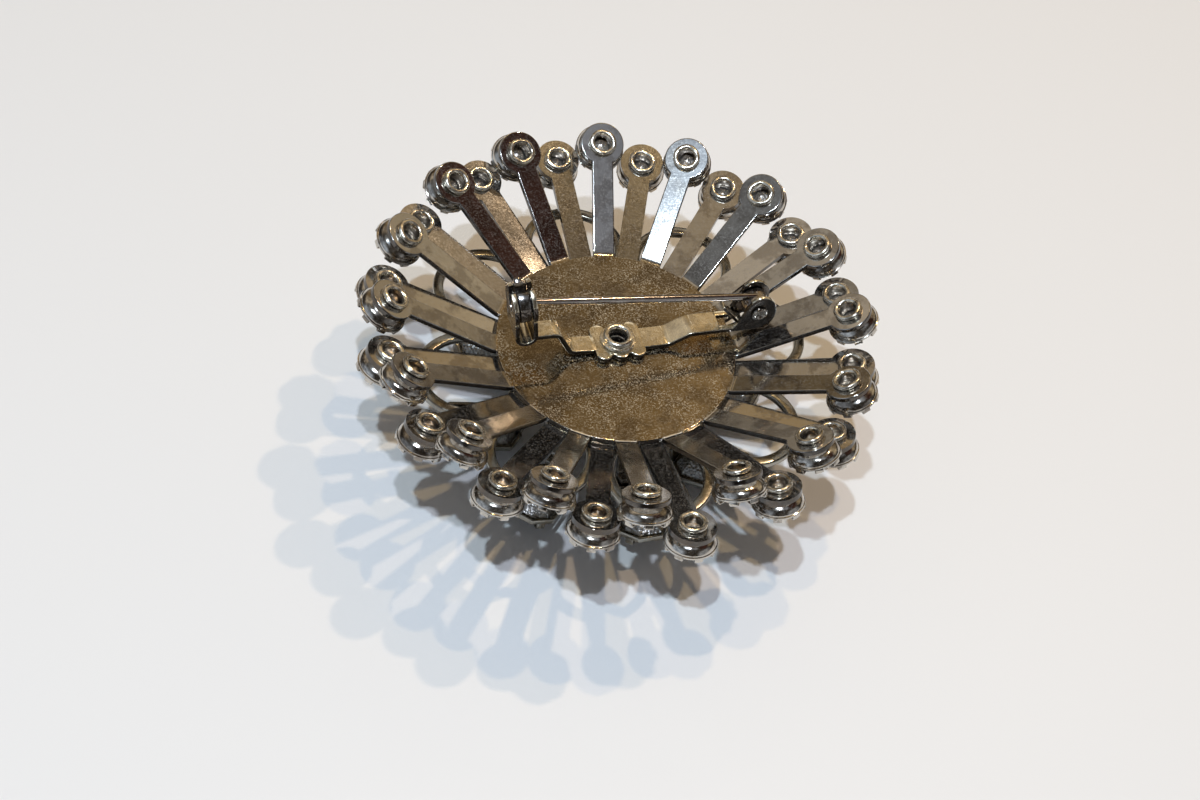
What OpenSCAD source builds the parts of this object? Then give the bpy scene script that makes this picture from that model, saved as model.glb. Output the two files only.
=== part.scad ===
// Crystal brooch seen from its back: two riveted stars of stone-tipped arms,
// a layer of open loops, a claw-set front, and a bar pin with a rolling catch.
// Z points out of the back. Z = 0 is the table of the centre stone, which faces down.

/* [Star plates] */
// Height of the polished disc's back face above the centre stone's table
disc_top = 13; // [12.8:0.1:14]
// Radius of the polished disc, which is also where its arms start
disc_r = 12.5; // [12.3:0.1:12.8]
// Thickness of the sheet metal
sheet_t = 0.6; // [0.5:0.05:0.65]
// Number of arms on each star
arm_count = 16; // [16:1:16]
// Direction of the first arm of the back star, in degrees from +X
arm_phase = 95.3; // [90:0.1:100]
// Width of an arm
arm_w = 2.3; // [2:0.1:2.4]
// Radius at which an arm starts to bend up
root_r = 12.3; // [12.2:0.05:12.5]
// Length of the straight part of an arm, up to the middle of its pad
arm_run = 11.95; // [11.5:0.05:12.5]
// Bend radius at the root of an arm
bend_r = 1.5; // [1.2:0.1:2]
// Rise of the back star's arms, in degrees
upper_rise = 30.5; // [30.5:0.5:32]
// Rise of the middle star's arms, in degrees
lower_rise = 18.5; // [17:0.5:18.5]
// Radius of the round pad that ends an arm
pad_r = 2.35; // [2.2:0.05:2.35]

/* [Small stones and their cups] */
// Radius of a small crystal
stone_r = 2.25; // [2.1:0.05:2.25]
// Outer radius of a cup's rim
cup_r = 2.65; // [2.6:0.05:2.65]
// Outer radius of the rivet tube that holds a cup to its pad
tube_r = 1.15; // [1.1:0.05:1.2]
// Radius of the hole through the rivet tube
tube_hole_r = 0.9; // [0.8:0.05:0.95]
// Width of a small claw
claw_w = 0.9; // [0.7:0.1:1]

/* [Loops] */
// Distance of a loop's centre from the axis
loop_centre_r = 15.5; // [15:0.1:15.8]
// Outer radius of a loop
loop_r = 5.6; // [5.3:0.1:5.7]
// Width of the metal round a loop
loop_w = 1.1; // [0.9:0.1:1.2]
// Thickness of the loop layer
loop_t = 0.8; // [0.6:0.05:0.8]

/* [Front] */
// Radius of the large centre stone
centre_stone_r = 5.4; // [5.2:0.05:5.4]
// Length of a petal stone, along the radius
petal_l = 8; // [7.5:0.1:8]
// Width of a petal stone
petal_w = 5.2; // [5:0.1:5.2]
// Distance of a petal stone's middle from the axis
petal_at = 13.6; // [13.6:0.1:14]
// Height of a petal stone's girdle above the centre stone's table
petal_z = 2.2; // [2.2:0.1:2.6]
// Lean of a petal stone away from the axis, in degrees
petal_lean = 14; // [12:0.5:15]

/* [Bar pin] */
// Direction of the bar, in degrees from +X
bar_turn = 15.5; // [12:0.5:18]
// Distance of the hinge rivet from the brooch's axis
hinge_at = 14.4; // [14.2:0.1:14.6]
// Height of the hinge rivet above the disc
hinge_up = 4.25; // [4.2:0.05:4.4]
// Radius of the pin stem
stem_r = 0.4; // [0.35:0.05:0.4]
// Slope of the closed stem up to the catch, in degrees
stem_slope = 7.2; // [7:0.1:7.4]
// Distance along the stem from the hinge to the middle of the catch
catch_at = 25.8; // [25.6:0.1:26]
// Radius of the rolling catch's drum
drum_r = 2; // [1.9:0.05:2.05]

/* [Hidden] */
// Small gap between pieces that are riveted together
gap = 0.05;
$fn = 48;

// Depth of an arm's faces below those of its disc and pad, where the sheet was drawn thinner
arm_inset = 0.02;

// Stack of plates, measured from the brooch's front
back_mid = disc_top - sheet_t / 2;
star_mid = back_mid - sheet_t - gap;
loop_mid = star_mid - sheet_t / 2 - gap - loop_t / 2;
frame_mid = loop_mid - loop_t / 2 - gap - sheet_t / 2;
stack_low = frame_mid - sheet_t / 2;
arm_pitch = 360 / arm_count;
lower_phase = arm_phase - arm_pitch / 2;
petal_count = 8;

// Arms that were bent out of line by wear: number, extra rise, swing in degrees
UPPER_BENT = [[1, 0, 0.5], [6, -2.5, 0], [8, 5, -1], [9, 0, -1], [16, 0, 1]];
LOWER_BENT = [[4, 1, 0], [5, -1, 0.3], [6, -1, -0.3], [8, -6, 0], [12, 1, 0]];

// Central rivet, which is the tube of the centre stone's cup
rivet_r = 1.3;
rivet_hole_r = 0.95;
bar_low = disc_top + 0.2;
bar_t = 0.6;
bar_top = bar_low + bar_t;

// Cup sizes, measured from the middle of the pad along its normal
cup_neck_r = 1.75;
cup_shoulder = -1.55;
cup_shoulder_r = cup_r - 0.05;
cup_wall = 0.35;
cup_rim = -1.75;
claw_end = -2.35;
claw_tip_r = 1.9;
ring_wire = 0.28;

// Petal setting, measured from the girdle of its stone
rim_wall = 0.42;
rim_top = 1.9;
rim_low = 0.45;
petal_cut = 1.35;
strip_w = 2.4;

// Bar outline, measured along the bar from the brooch's axis
left_fold_low = -5.26;
left_fold_high = -6.95;
left_shelf = disc_top + 3.5;
right_fold_low = 5.28;
right_fold_high = 7.47;
right_shelf = disc_top + 1.5;
bar_w_left = 2.1;
bar_w_right = 2.6;
barrel_r = 1.4;
barrel_w = 1.7;
stem_lift = barrel_r - stem_r - 0.04;
hinge_shaft_r = 0.5;
ear_in = 0.95;
ear_t = 0.45;
tongue_root = 13;
tongue_tip = 10.7;
tongue_w = 1.1;
catch_lean = 15.2;
catch_half = 1.17;
catch_wall = 0.48;
catch_drop = 4.7;
catch_plate_r = 2.2;
catch_strip_w = 3.8;
boss_r = 1.15;
roller_hole_r = 0.66;
slot_w = 1;

function two(n) = n < 10 ? str("0", n) : str(n);
STONE_NAMES = concat(
    [for (n = [1:arm_count]) str("upper_stone_", two(n))],
    [for (n = [1:arm_count]) str("lower_stone_", two(n))],
    [for (n = [1:petal_count]) str("petal_stone_", n)]
);

function bent(table, n, column) =
    let (hit = [for (row = table) if (row[0] == n) row[column]])
    len(hit) > 0 ? hit[0] : 0;

// Side outline of an arm's strip: flat, then round the bend, then straight up the slope
module arm_outline(rise) {
    steps = 6;
    half = sheet_t / 2 - arm_inset;
    function on_bend(r, a) = [root_r + r * sin(a), bend_r - r * cos(a)];
    function on_slope(r) = on_bend(r, rise) + arm_run * [cos(rise), sin(rise)];
    polygon(concat(
        [[root_r - 3, -half]],
        [for (k = [0:steps]) on_bend(bend_r + half, rise * k / steps)],
        [on_slope(bend_r + half), on_slope(bend_r - half)],
        [for (k = [steps:-1:0]) on_bend(bend_r - half, rise * k / steps)],
        [[root_r - 3, half]]
    ));
}

// Moves its children to the middle of an arm's pad, with Z along the pad's normal
module at_pad(phase, mid, rise, table, n) {
    angle = rise + bent(table, n, 1);
    turn = phase - arm_pitch * (n - 1) + bent(table, n, 2);
    rotate(turn)
        translate([root_r, 0, mid + bend_r])
            rotate([0, -angle, 0])
                translate([arm_run, 0, -bend_r])
                    children();
}

module star(phase, mid, rise, table, r) {
    difference() {
        union() {
            translate([0, 0, mid - sheet_t / 2]) cylinder(r = r, h = sheet_t, $fn = 96);
            for (n = [1:arm_count]) {
                rotate(phase - arm_pitch * (n - 1) + bent(table, n, 2))
                    translate([0, arm_w / 2, mid])
                        rotate([90, 0, 0])
                            linear_extrude(arm_w) arm_outline(rise + bent(table, n, 1));
                at_pad(phase, mid, rise, table, n)
                    translate([0, 0, -sheet_t / 2]) cylinder(r = pad_r, h = sheet_t);
            }
        }
        for (n = [1:arm_count])
            at_pad(phase, mid, rise, table, n)
                cylinder(r = tube_r + gap, h = 2 * sheet_t, center = true);
        translate([0, 0, mid]) cylinder(r = rivet_r + gap, h = 2 * sheet_t, center = true);
    }
}

module back_plate() {
    color([0.55, 0.5, 0.4]) star(arm_phase, back_mid, upper_rise, UPPER_BENT, disc_r);
}

module middle_plate() {
    color([0.42, 0.4, 0.37]) star(lower_phase, star_mid, lower_rise, LOWER_BENT, root_r - 0.2);
}

module loop_plate() {
    hub_r = loop_centre_r - loop_r + loop_w / 2;
    color([0.36, 0.34, 0.31])
        translate([0, 0, loop_mid - loop_t / 2])
            linear_extrude(loop_t)
                difference() {
                    union() {
                        circle(r = hub_r, $fn = 96);
                        for (n = [1:petal_count]) at_petal_turn(n) translate([loop_centre_r, 0]) circle(r = loop_r);
                    }
                    for (n = [1:petal_count])
                        at_petal_turn(n) translate([loop_centre_r, 0]) circle(r = loop_r - loop_w);
                    circle(r = rivet_r + gap);
                }
}

// The loops and the front's petals lie under every second arm of the middle star
module at_petal_turn(n) {
    rotate(lower_phase - arm_pitch - 2 * arm_pitch * (n - 1)) children();
}

// Rivet tube rolled over on top of the pad, and the cup with its claws below it
module cup() {
    half = sheet_t / 2;
    ring_z = half + gap + ring_wire;
    difference() {
        rotate_extrude() {
            translate([tube_hole_r + ring_wire, ring_z]) circle(r = ring_wire, $fn = 24);
            polygon([
                [tube_hole_r, ring_z], [tube_r, ring_z], [tube_r, -half - gap],
                [cup_neck_r, -half - gap], [cup_shoulder_r, cup_shoulder], [cup_r, cup_rim],
                [cup_r - 0.12, cup_rim - 0.33], [cup_r - 0.42, claw_end], [claw_tip_r, claw_end],
                [claw_tip_r, claw_end + 0.22], [cup_r - cup_wall, cup_rim - 0.06],
                [cup_r - cup_wall, cup_shoulder], [tube_r, -half - gap - 0.4],
                [tube_hole_r, -half - gap - 0.4]
            ]);
        }
        for (k = [0:3])
            rotate(45 * k + 22.5)
                translate([0, 0, claw_end / 2 + cup_rim / 2 - 0.1])
                    cube([3 * cup_r, 2 * (cup_r - 0.1) * sin(22.5) - claw_w / 2 - 0.45, cup_rim - claw_end + 0.2],
                         center = true);
    }
}

module upper_cups() {
    color([0.5, 0.48, 0.44])
        for (n = [1:arm_count]) at_pad(arm_phase, back_mid, upper_rise, UPPER_BENT, n) cup();
}

module lower_cups() {
    color([0.45, 0.43, 0.4])
        for (n = [1:arm_count]) at_pad(lower_phase, star_mid, lower_rise, LOWER_BENT, n) cup();
}

// Round cut stone: table below, girdle of sixteen sides, pointed back above
module round_stone(r, girdle, girdle_h, table_r, crown, back) {
    color([0.85, 0.9, 0.95])
        hull() {
            translate([0, 0, girdle]) rotate(11.25) cylinder(r = r, h = girdle_h, $fn = 16);
            translate([0, 0, girdle - crown]) cylinder(r = table_r, h = 0.01, $fn = 8);
            translate([0, 0, girdle + girdle_h + back - 0.01]) cylinder(r = 0.1, h = 0.01, $fn = 8);
        }
}

module small_stone() {
    round_stone(stone_r, cup_rim, 0.15, 0.55 * stone_r, 0.75, 1.05);
}

module upper_stone(n) {
    at_pad(arm_phase, back_mid, upper_rise, UPPER_BENT, n) small_stone();
}

module lower_stone(n) {
    at_pad(lower_phase, star_mid, lower_rise, LOWER_BENT, n) small_stone();
}

// Octagon of a rectangle with cut corners
module cut_rectangle(l, w, cut) {
    polygon([
        [l / 2, w / 2 - cut], [l / 2 - cut, w / 2], [cut - l / 2, w / 2], [-l / 2, w / 2 - cut],
        [-l / 2, cut - w / 2], [cut - l / 2, -w / 2], [l / 2 - cut, -w / 2], [l / 2, cut - w / 2]
    ]);
}

// Moves its children to the girdle of a petal stone, with X outwards and Z to the back
module at_petal(n) {
    at_petal_turn(n)
        translate([petal_at, 0, petal_z])
            rotate([0, -petal_lean, 0])
                children();
}

// Step cut: each layer is a height, an inset from the girdle, and the corner's cut
module petal_stone(n) {
    LAYERS = [[-1.1, 1.35, 0.75], [-0.75, 0.7, 1.05], [-0.15, 0, 1.35], [0, 0, 1.35],
              [0.8, 0.75, 1], [1.45, 1.7, 0.6], [1.65, 2.45, 0.1]];
    color([0.8, 0.86, 0.93])
        at_petal(n)
            hull()
                for (row = LAYERS)
                    translate([0, 0, row[0]])
                        linear_extrude(0.01)
                            cut_rectangle(petal_l - 2 * row[1], petal_w - 2 * row[1], row[2]);
}

// One open-backed setting: the rim, a post up to the strip, and a claw at each cut corner
module petal_rim() {
    corner_x = petal_l / 2 + 0.07 - petal_cut / 2;
    corner_y = petal_w / 2 + 0.07 - petal_cut / 2;
    translate([-petal_l / 2 - 0.075 - rim_wall, -strip_w / 2, -0.2]) cube([rim_wall, strip_w, rim_top + 0.2]);
    translate([0, 0, -0.2])
        linear_extrude(rim_low + 0.2)
            difference() {
                cut_rectangle(petal_l + 2 * rim_wall + 0.15, petal_w + 2 * rim_wall + 0.15, petal_cut + 0.28);
                cut_rectangle(petal_l + 0.15, petal_w + 0.15, petal_cut);
            }
    for (sx = [-1, 1], sy = [-1, 1])
        translate([sx * corner_x, sy * corner_y, 0])
            rotate(atan2(sy, sx))
                translate([0, claw_w / 2, 0])
                    rotate([90, 0, 0])
                        linear_extrude(claw_w)
                            polygon([[0.05, 0], [rim_wall, 0], [rim_wall, -0.85], [0.15, -1.1],
                                     [-0.5, -1], [-0.5, -0.78], [0.05, -0.6]]);
}

// Strip from the hub down to a setting's post and a little way over its open back
module petal_arm() {
    spine_z = rim_top + 0.2;
    in_end = [petal_at - 4.2 * cos(petal_lean) - spine_z * sin(petal_lean),
              petal_z - 4.2 * sin(petal_lean) + spine_z * cos(petal_lean)];
    out_end = in_end + 1.6 * [cos(petal_lean), sin(petal_lean)];
    path = [[5.5, frame_mid], [7.6, frame_mid], in_end, out_end];
    translate([0, strip_w / 2, 0])
        rotate([90, 0, 0])
            linear_extrude(strip_w)
                for (k = [0:2]) strip(path[k], path[k + 1], sheet_t);
}

// Flat strip from one point to another, with round ends
module strip(from, to, t) {
    way = to - from;
    translate(from) {
        rotate(atan2(way[1], way[0])) translate([0, -t / 2]) square([norm(way), t]);
        circle(r = t / 2, $fn = 24);
        translate(way) circle(r = t / 2, $fn = 24);
    }
}

module claw_frame() {
    color([0.4, 0.38, 0.36])
        difference() {
            union() {
                translate([0, 0, stack_low]) cylinder(r = 7, h = sheet_t);
                for (n = [1:petal_count]) {
                    at_petal_turn(n) petal_arm();
                    at_petal(n) petal_rim();
                }
            }
            translate([0, 0, frame_mid]) cylinder(r = rivet_r + gap, h = 2 * sheet_t, center = true);
        }
}

// Cup of the centre stone. Its tube passes the whole stack and is rolled over on the bar.
module centre_cup() {
    low = stack_low - gap;
    ring_low = bar_top + gap;
    ring_r = 0.33;
    rim_r = centre_stone_r + 0.45;
    function on_ring(a) = [rivet_hole_r + ring_r + ring_r * cos(a), ring_low + 0.55 + ring_r * sin(a)];
    color([0.52, 0.49, 0.43])
        difference() {
            rotate_extrude()
                polygon(concat(
                    [for (a = [180:-30:-30]) on_ring(a)],
                    [[1.85, ring_low + 0.3], [1.85, ring_low], [rivet_r, ring_low], [rivet_r, low],
                     [2.4, low], [2.4, low - 0.6], [1.6, low - 0.6], [1.6, 6.6], [2.2, 6.2],
                     [rim_r, 3.2], [rim_r, 1.2], [rim_r - 0.4, 0.9], [rim_r - 0.95, 1],
                     [rim_r - 0.95, 1.35], [rim_r - 0.5, 1.65], [rim_r - 0.35, 1.85],
                     [rim_r - 0.35, 3.1], [1.5, 5.9], [rivet_hole_r, 5.9]]
                ));
            for (k = [0:3])
                rotate(45 * k + 22.5)
                    translate([0, 0, 1.2]) cube([3 * rim_r, 2.8, 1.6], center = true);
        }
}

module centre_stone() {
    round_stone(centre_stone_r, 2.1, 0.25, 3.3, 2.1, 2.85);
}

// Moves its children into the bar's frame: X along the bar, Z from the front
module on_bar() {
    rotate(bar_turn) children();
}

// Moves its children onto the closed stem's line, with X to the hinge and Z away from the disc
module on_stem(along) {
    on_bar()
        translate([hinge_at, 0, disc_top + hinge_up])
            rotate([0, stem_slope, 0])
                translate([-along, 0, stem_lift])
                    children();
}

// Stretch of the bar's side outline, made wide across the bar
module bar_stretch(from, to, w) {
    translate([0, w / 2, 0]) rotate([90, 0, 0]) linear_extrude(w) strip(from, to, bar_t);
}

module pin_bar() {
    mid = bar_low + bar_t / 2;
    left_mid = left_shelf + bar_t / 2;
    right_mid = right_shelf + bar_t / 2;
    color([0.56, 0.52, 0.42]) {
        on_bar() bar_stop(right_mid);
        difference() {
            union() {
                on_bar() {
                    translate([0, 0, bar_low])
                        linear_extrude(bar_t) {
                            square([5.4, 3.4], center = true);
                            for (x = [-1.8, 0, 1.8], y = [-1.55, 1.55]) translate([x, y]) circle(r = 0.82, $fn = 32);
                        }
                    bar_stretch([0, mid], [-2.4, mid], bar_w_left);
                    bar_stretch([-2.4, mid], [left_fold_low, mid + 0.25], bar_w_left);
                    bar_stretch([left_fold_low, mid + 0.25], [left_fold_high, left_mid], bar_w_left);
                    bar_stretch([left_fold_high, left_mid], [-10.6, left_mid], bar_w_left);
                    bar_stretch([0, mid], [right_fold_low, mid], bar_w_right);
                    bar_stretch([right_fold_low, mid], [right_fold_high, right_mid], bar_w_right);
                    bar_stretch([right_fold_high, right_mid], [13.3, right_mid], bar_w_right);
                    for (side = [-1, 1]) hinge_ear(side);
                }
                catch_body();
            }
            on_bar() {
                translate([hinge_at, 0, disc_top + hinge_up])
                    rotate([90, 0, 0]) cylinder(r = hinge_shaft_r + gap, h = 4, center = true);
                translate([0, 0, mid]) cylinder(r = rivet_r + gap, h = 2 * bar_t, center = true);
                translate([tongue_tip, -tongue_w / 2 - 0.1, right_shelf - gap])
                    cube([tongue_root - tongue_tip - 0.1, tongue_w + 0.2, bar_t + 2 * gap]);
            }
            at_catch() {
                rotate([0, 90, 0]) cylinder(r = boss_r + gap, h = 5, center = true);
                translate([0, 0, 1.5]) cube([5, slot_w + 0.1, 3], center = true);
            }
        }
    }
}

// Tongue cut from the bar, bent up under the stem
module bar_stop(right_mid) {
    translate([0, tongue_w / 2, 0])
        rotate([90, 0, 0])
            linear_extrude(tongue_w) strip([tongue_root, right_mid], [tongue_tip, right_mid + 2.75], 0.36);
}

// Leaf-shaped ear round the hinge rivet, bent up from the bar's edge
module hinge_ear(side) {
    OUTLINE = [[-2.75, -2.6], [-2.3, -1.95], [-2, -1.4], [-1.7, -0.5], [-1.4, 0.6], [-1.1, 1.5], [-0.75, 2.05],
               [-0.3, 2.25], [0.3, 2.2], [0.95, 1.85], [1.5, 1.25], [1.85, 0.5], [2, -0.4], [1.9, -1.3],
               [1.65, -2.2], [1.4, -2.6]];
    translate([hinge_at, side * (ear_in + ear_t / 2), disc_top + hinge_up])
        rotate([90, 0, 0])
            linear_extrude(ear_t, center = true) polygon(OUTLINE);
}

// Moves its children to the middle of the catch, with X along its axis and Z away from the disc
module at_catch() {
    on_stem(catch_at) rotate([0, -catch_lean, 0]) children();
}

// Two round plates on a folded foot
module catch_body() {
    module fold(half, low) {
        translate([-half, low]) square([2 * half, 2 * catch_drop]);
        translate([0, low]) circle(r = half);
    }
    low = catch_half - catch_drop;
    at_catch()
        intersection() {
            translate([0, 2.5, 0])
                rotate([90, 0, 0])
                    linear_extrude(5)
                        difference() {
                            fold(catch_half, low);
                            fold(catch_half - catch_wall, low);
                        }
            rotate([90, 0, 90])
                linear_extrude(5, center = true) {
                    circle(r = catch_plate_r);
                    translate([-catch_strip_w / 2, -catch_drop]) square([catch_strip_w, catch_drop]);
                }
        }
}

// Drum between the catch's plates, with a boss in each plate, the stem's slot and a thumb knob
module catch_roller() {
    drum_half = catch_half - catch_wall - 0.12;
    color([0.6, 0.57, 0.5])
        at_catch()
            difference() {
                union() {
                    rotate([0, 90, 0]) cylinder(r = drum_r, h = 2 * drum_half, center = true);
                    rotate([0, 90, 0]) cylinder(r = boss_r, h = 2 * catch_half, center = true);
                    rotate([-60, 0, 0]) translate([0, 0, drum_r]) cube([0.8, 1.1, 0.9], center = true);
                }
                rotate([0, 90, 0]) cylinder(r = roller_hole_r, h = 5, center = true);
                translate([0, 0, 2]) cube([5, slot_w, 4], center = true);
            }
}

// Stem with its barrel: a little thicker at its root, then straight, then slender, then pointed
module pin_stem() {
    root = 4.4;
    straight = 20;
    slender = catch_at - catch_half - 0.2;
    tip = catch_at + catch_half - 0.3;
    module shaft(from, to, r_from, r_to) {
        translate([-from, 0, 0]) rotate([0, -90, 0]) cylinder(r1 = r_from, r2 = r_to, h = to - from);
    }
    color([0.7, 0.68, 0.62])
        difference() {
            union() {
                on_stem(0) {
                    shaft(0, root, stem_r + 0.05, stem_r);
                    shaft(root, straight, stem_r, stem_r);
                    shaft(straight, slender, stem_r, 0.27);
                    shaft(slender, tip - 0.9, 0.27, 0.25);
                    shaft(tip - 0.9, tip, 0.25, 0.06);
                }
                on_bar()
                    translate([hinge_at, 0, disc_top + hinge_up])
                        rotate([90, 0, 0]) cylinder(r = barrel_r, h = barrel_w, center = true);
            }
            on_bar()
                translate([hinge_at, 0, disc_top + hinge_up])
                    rotate([90, 0, 0]) cylinder(r = hinge_shaft_r + gap, h = 4, center = true);
        }
}

// Rivet through both ears, with a dimple in each head
module hinge_rivet() {
    head_at = ear_in + ear_t + gap;
    color([0.5, 0.48, 0.45])
        on_bar()
            translate([hinge_at, 0, disc_top + hinge_up])
                rotate([90, 0, 0])
                    difference() {
                        union() {
                            cylinder(r = hinge_shaft_r, h = 2 * head_at, center = true);
                            for (side = [0, 180]) rotate([side, 0, 0]) translate([0, 0, head_at]) cylinder(r = 0.85, h = 0.3);
                        }
                        for (side = [0, 180])
                            rotate([side, 0, 0]) translate([0, 0, head_at + 0.12]) cylinder(r = 0.45, h = 0.3);
                    }
}

back_plate();
middle_plate();
loop_plate();
claw_frame();
upper_cups();
lower_cups();
centre_cup();
centre_stone();
pin_bar();
catch_roller();
pin_stem();
hinge_rivet();
for (n = [1:arm_count]) {
    upper_stone(n);
    lower_stone(n);
}
for (n = [1:petal_count]) {
    petal_stone(n);
}
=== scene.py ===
"""Crystal brooch, lying on its stones with its pin bar up: the finished surfaces of its plates, cups,
stones and bar pin, their metals and glass, and the pale floor and lamps that it is shown with."""

import math
from collections import namedtuple

import bmesh
import bpy
import numpy as np
from bpy.props import FloatProperty, FloatVectorProperty, IntProperty, PointerProperty
from mathutils import Matrix, Vector


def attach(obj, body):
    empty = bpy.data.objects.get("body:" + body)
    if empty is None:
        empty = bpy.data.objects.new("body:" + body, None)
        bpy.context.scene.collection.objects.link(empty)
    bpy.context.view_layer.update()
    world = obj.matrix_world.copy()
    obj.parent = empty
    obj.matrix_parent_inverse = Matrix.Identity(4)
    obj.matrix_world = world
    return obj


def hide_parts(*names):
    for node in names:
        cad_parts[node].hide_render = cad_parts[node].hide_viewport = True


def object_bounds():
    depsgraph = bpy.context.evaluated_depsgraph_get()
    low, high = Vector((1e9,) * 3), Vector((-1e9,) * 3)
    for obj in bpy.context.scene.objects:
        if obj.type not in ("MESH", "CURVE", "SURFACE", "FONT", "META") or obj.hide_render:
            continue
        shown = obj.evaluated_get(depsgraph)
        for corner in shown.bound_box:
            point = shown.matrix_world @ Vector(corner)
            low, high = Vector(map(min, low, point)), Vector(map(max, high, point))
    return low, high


bl_info = {
    "name": "Crystal brooch",
    "version": (1, 0, 0),
    "blender": (4, 5, 0),
    "location": "3D View > Sidebar > Brooch",
    "description": "Builds the finished surfaces of a riveted crystal brooch round its packed frame",
    "category": "Add Mesh",
}

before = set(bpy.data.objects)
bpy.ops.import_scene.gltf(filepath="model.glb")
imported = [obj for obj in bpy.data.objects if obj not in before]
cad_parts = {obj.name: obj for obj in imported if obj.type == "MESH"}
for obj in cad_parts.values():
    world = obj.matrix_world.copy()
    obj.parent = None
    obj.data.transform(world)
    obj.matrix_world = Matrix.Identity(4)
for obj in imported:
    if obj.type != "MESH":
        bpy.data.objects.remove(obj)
CAD_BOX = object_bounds()
BODY = "brooch"

# Shapes are worked out in millimetres and brought to metres when a piece is made
MM = 0.001

# Heights above the centre stone's table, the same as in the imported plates
DISC_TOP = 13.0
SHEET = 0.6
GAP = 0.05
LOOP_THICK = 0.8
BACK_MID = DISC_TOP - SHEET / 2
STAR_MID = BACK_MID - SHEET - GAP
LOOP_MID = STAR_MID - SHEET / 2 - GAP - LOOP_THICK / 2
FRAME_MID = LOOP_MID - LOOP_THICK / 2 - GAP - SHEET / 2

# The stars: radius where the arms start to rise, their bend, their directions in degrees, and the rivet tubes
ARM_COUNT = 16
ARM_PITCH = 360 / ARM_COUNT
ROOT_R = 12.3
BEND_R = 1.5
UPPER_PHASE = 95.3
LOWER_PHASE = UPPER_PHASE - ARM_PITCH / 2
RIVET_R = 1.3
TUBE_R = 1.15
TUBE_HOLE_R = 0.9

# Arms that wear has bent out of line: extra rise and swing in degrees, by number
UPPER_BENT = {1: (0, 0.5), 6: (-2.5, 0), 8: (5, -1), 9: (0, -1), 16: (0, 1)}
LOWER_BENT = {4: (1, 0), 5: (-1, 0.3), 6: (-1, -0.3), 8: (-6, 0), 12: (1, 0)}

# Arms that are twisted a little past their root, with their pad, cup and stone: degrees by number
UPPER_TWIST = {2: -3.0, 3: 1.5, 4: -1.2, 9: 1.5, 14: -1.5}
LOWER_TWIST = {1: -1.5, 2: 1.2, 8: -1.5, 10: 1.5, 15: -3.2}

# The front: eight petals under every second arm of the middle star, and the loops behind them
PETAL_COUNT = 8
LOOP_AT = 15.5
PETAL_AT = 13.6
PETAL_Z = 2.2
PETAL_LEAN = math.radians(14)
RIM_WALL = 0.42
RIM_TOP = 1.9
RIM_LOW = 0.45
PETAL_CUT = 1.35
STRIP_WIDTH = 2.4
STRIP_BACK = 4.2
STRIP_OVER = 1.6
HUB_R = 7.0

# A small stone's girdle, measured from the middle of its pad along the pad's normal, and the girdle's height
GIRDLE = -1.75
GIRDLE_THICK = 0.15

# The bar pin, in the bar's own frame: X along the bar, Z up from the front. A face of the bar counts as a cut
# edge where the height of its normal is under STEEP, and is given the near-black edge metal: painted shade on
# the faces that stand upright, the hinge ears and the catch's plates among them.
BAR_TURN = math.radians(15.5)
BAR_THICK = 0.6
BAR_MID = DISC_TOP + 0.2 + BAR_THICK / 2
BAR_TOP = BAR_MID + BAR_THICK / 2
LEFT_MID = DISC_TOP + 3.5 + BAR_THICK / 2
RIGHT_MID = DISC_TOP + 1.5 + BAR_THICK / 2
HINGE = (14.4, 0.0, DISC_TOP + 4.25)
STEM_SLOPE = math.radians(7.2)
STEM_LIFT = 0.96
CATCH_AT = 25.8
CATCH_LEAN = math.radians(15.2)
CATCH_HALF = 1.17
CATCH_WALL = 0.48
CATCH_FOLD = CATCH_HALF - 4.7
CATCH_SLOT = 0.5
CATCH_BORE = 1.2
CATCH_R = 2.2
CATCH_MOUTH = 0.55
EAR_AT = 0.95
EAR_THICK = 0.45
STEEP = 0.42
TONGUE_ROOT = 13.0
TONGUE_TIP = 10.7
TONGUE_WIDTH = 1.1
TONGUE_RISE = 2.75


# The sizes and colours that a user would change


def length(name, description, default):
    """A property that is a length in metres."""
    return FloatProperty(name=name, description=description, default=default, unit="LENGTH")


def slope(name, description, degrees):
    """A property that is an angle, given in degrees."""
    return FloatProperty(name=name, description=description, default=math.radians(degrees), subtype="ANGLE")


def tone(name, description, default):
    """A property that is a colour."""
    return FloatVectorProperty(name=name, description=description, default=default, subtype="COLOR")


class StarSettings(bpy.types.PropertyGroup):
    """Sizes of the two stars of arms"""

    disc_radius: length("Disc radius", "Radius of the polished disc", 0.0125)
    arm_width: length("Arm width", "Width of one arm", 0.0023)
    arm_run: length("Arm run", "Straight length of an arm, from its bend to the middle of its pad", 0.01195)
    pad_radius: length("Pad radius", "Radius of the pad that ends an arm", 0.00235)
    upper_rise: slope("Upper rise", "Slope of the back star's arms", 30.5)
    lower_rise: slope("Lower rise", "Slope of the middle star's arms", 18.5)
    edge: length("Edge", "Width of the worn edge of the sheet", 0.00013)


class SettingSettings(bpy.types.PropertyGroup):
    """Sizes of the cups, claws, stones and loops"""

    rim_radius: length("Rim radius", "Outer radius of a small cup", 0.00265)
    ring_wire: length("Rolled ring", "Radius of the rolled edge of a rivet tube", 0.00028)
    claw_width: length("Claw width", "Width of a small claw", 0.00086)
    stone_radius: length("Stone radius", "Radius of a small crystal", 0.00225)
    centre_radius: length("Centre stone", "Radius of the large crystal", 0.0054)
    petal_length: length("Petal length", "Length of a petal crystal", 0.008)
    petal_width: length("Petal width", "Width of a petal crystal", 0.0052)
    loop_radius: length("Loop radius", "Outer radius of a loop", 0.0056)
    loop_width: length("Loop width", "Width of a loop's metal", 0.0011)


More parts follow.
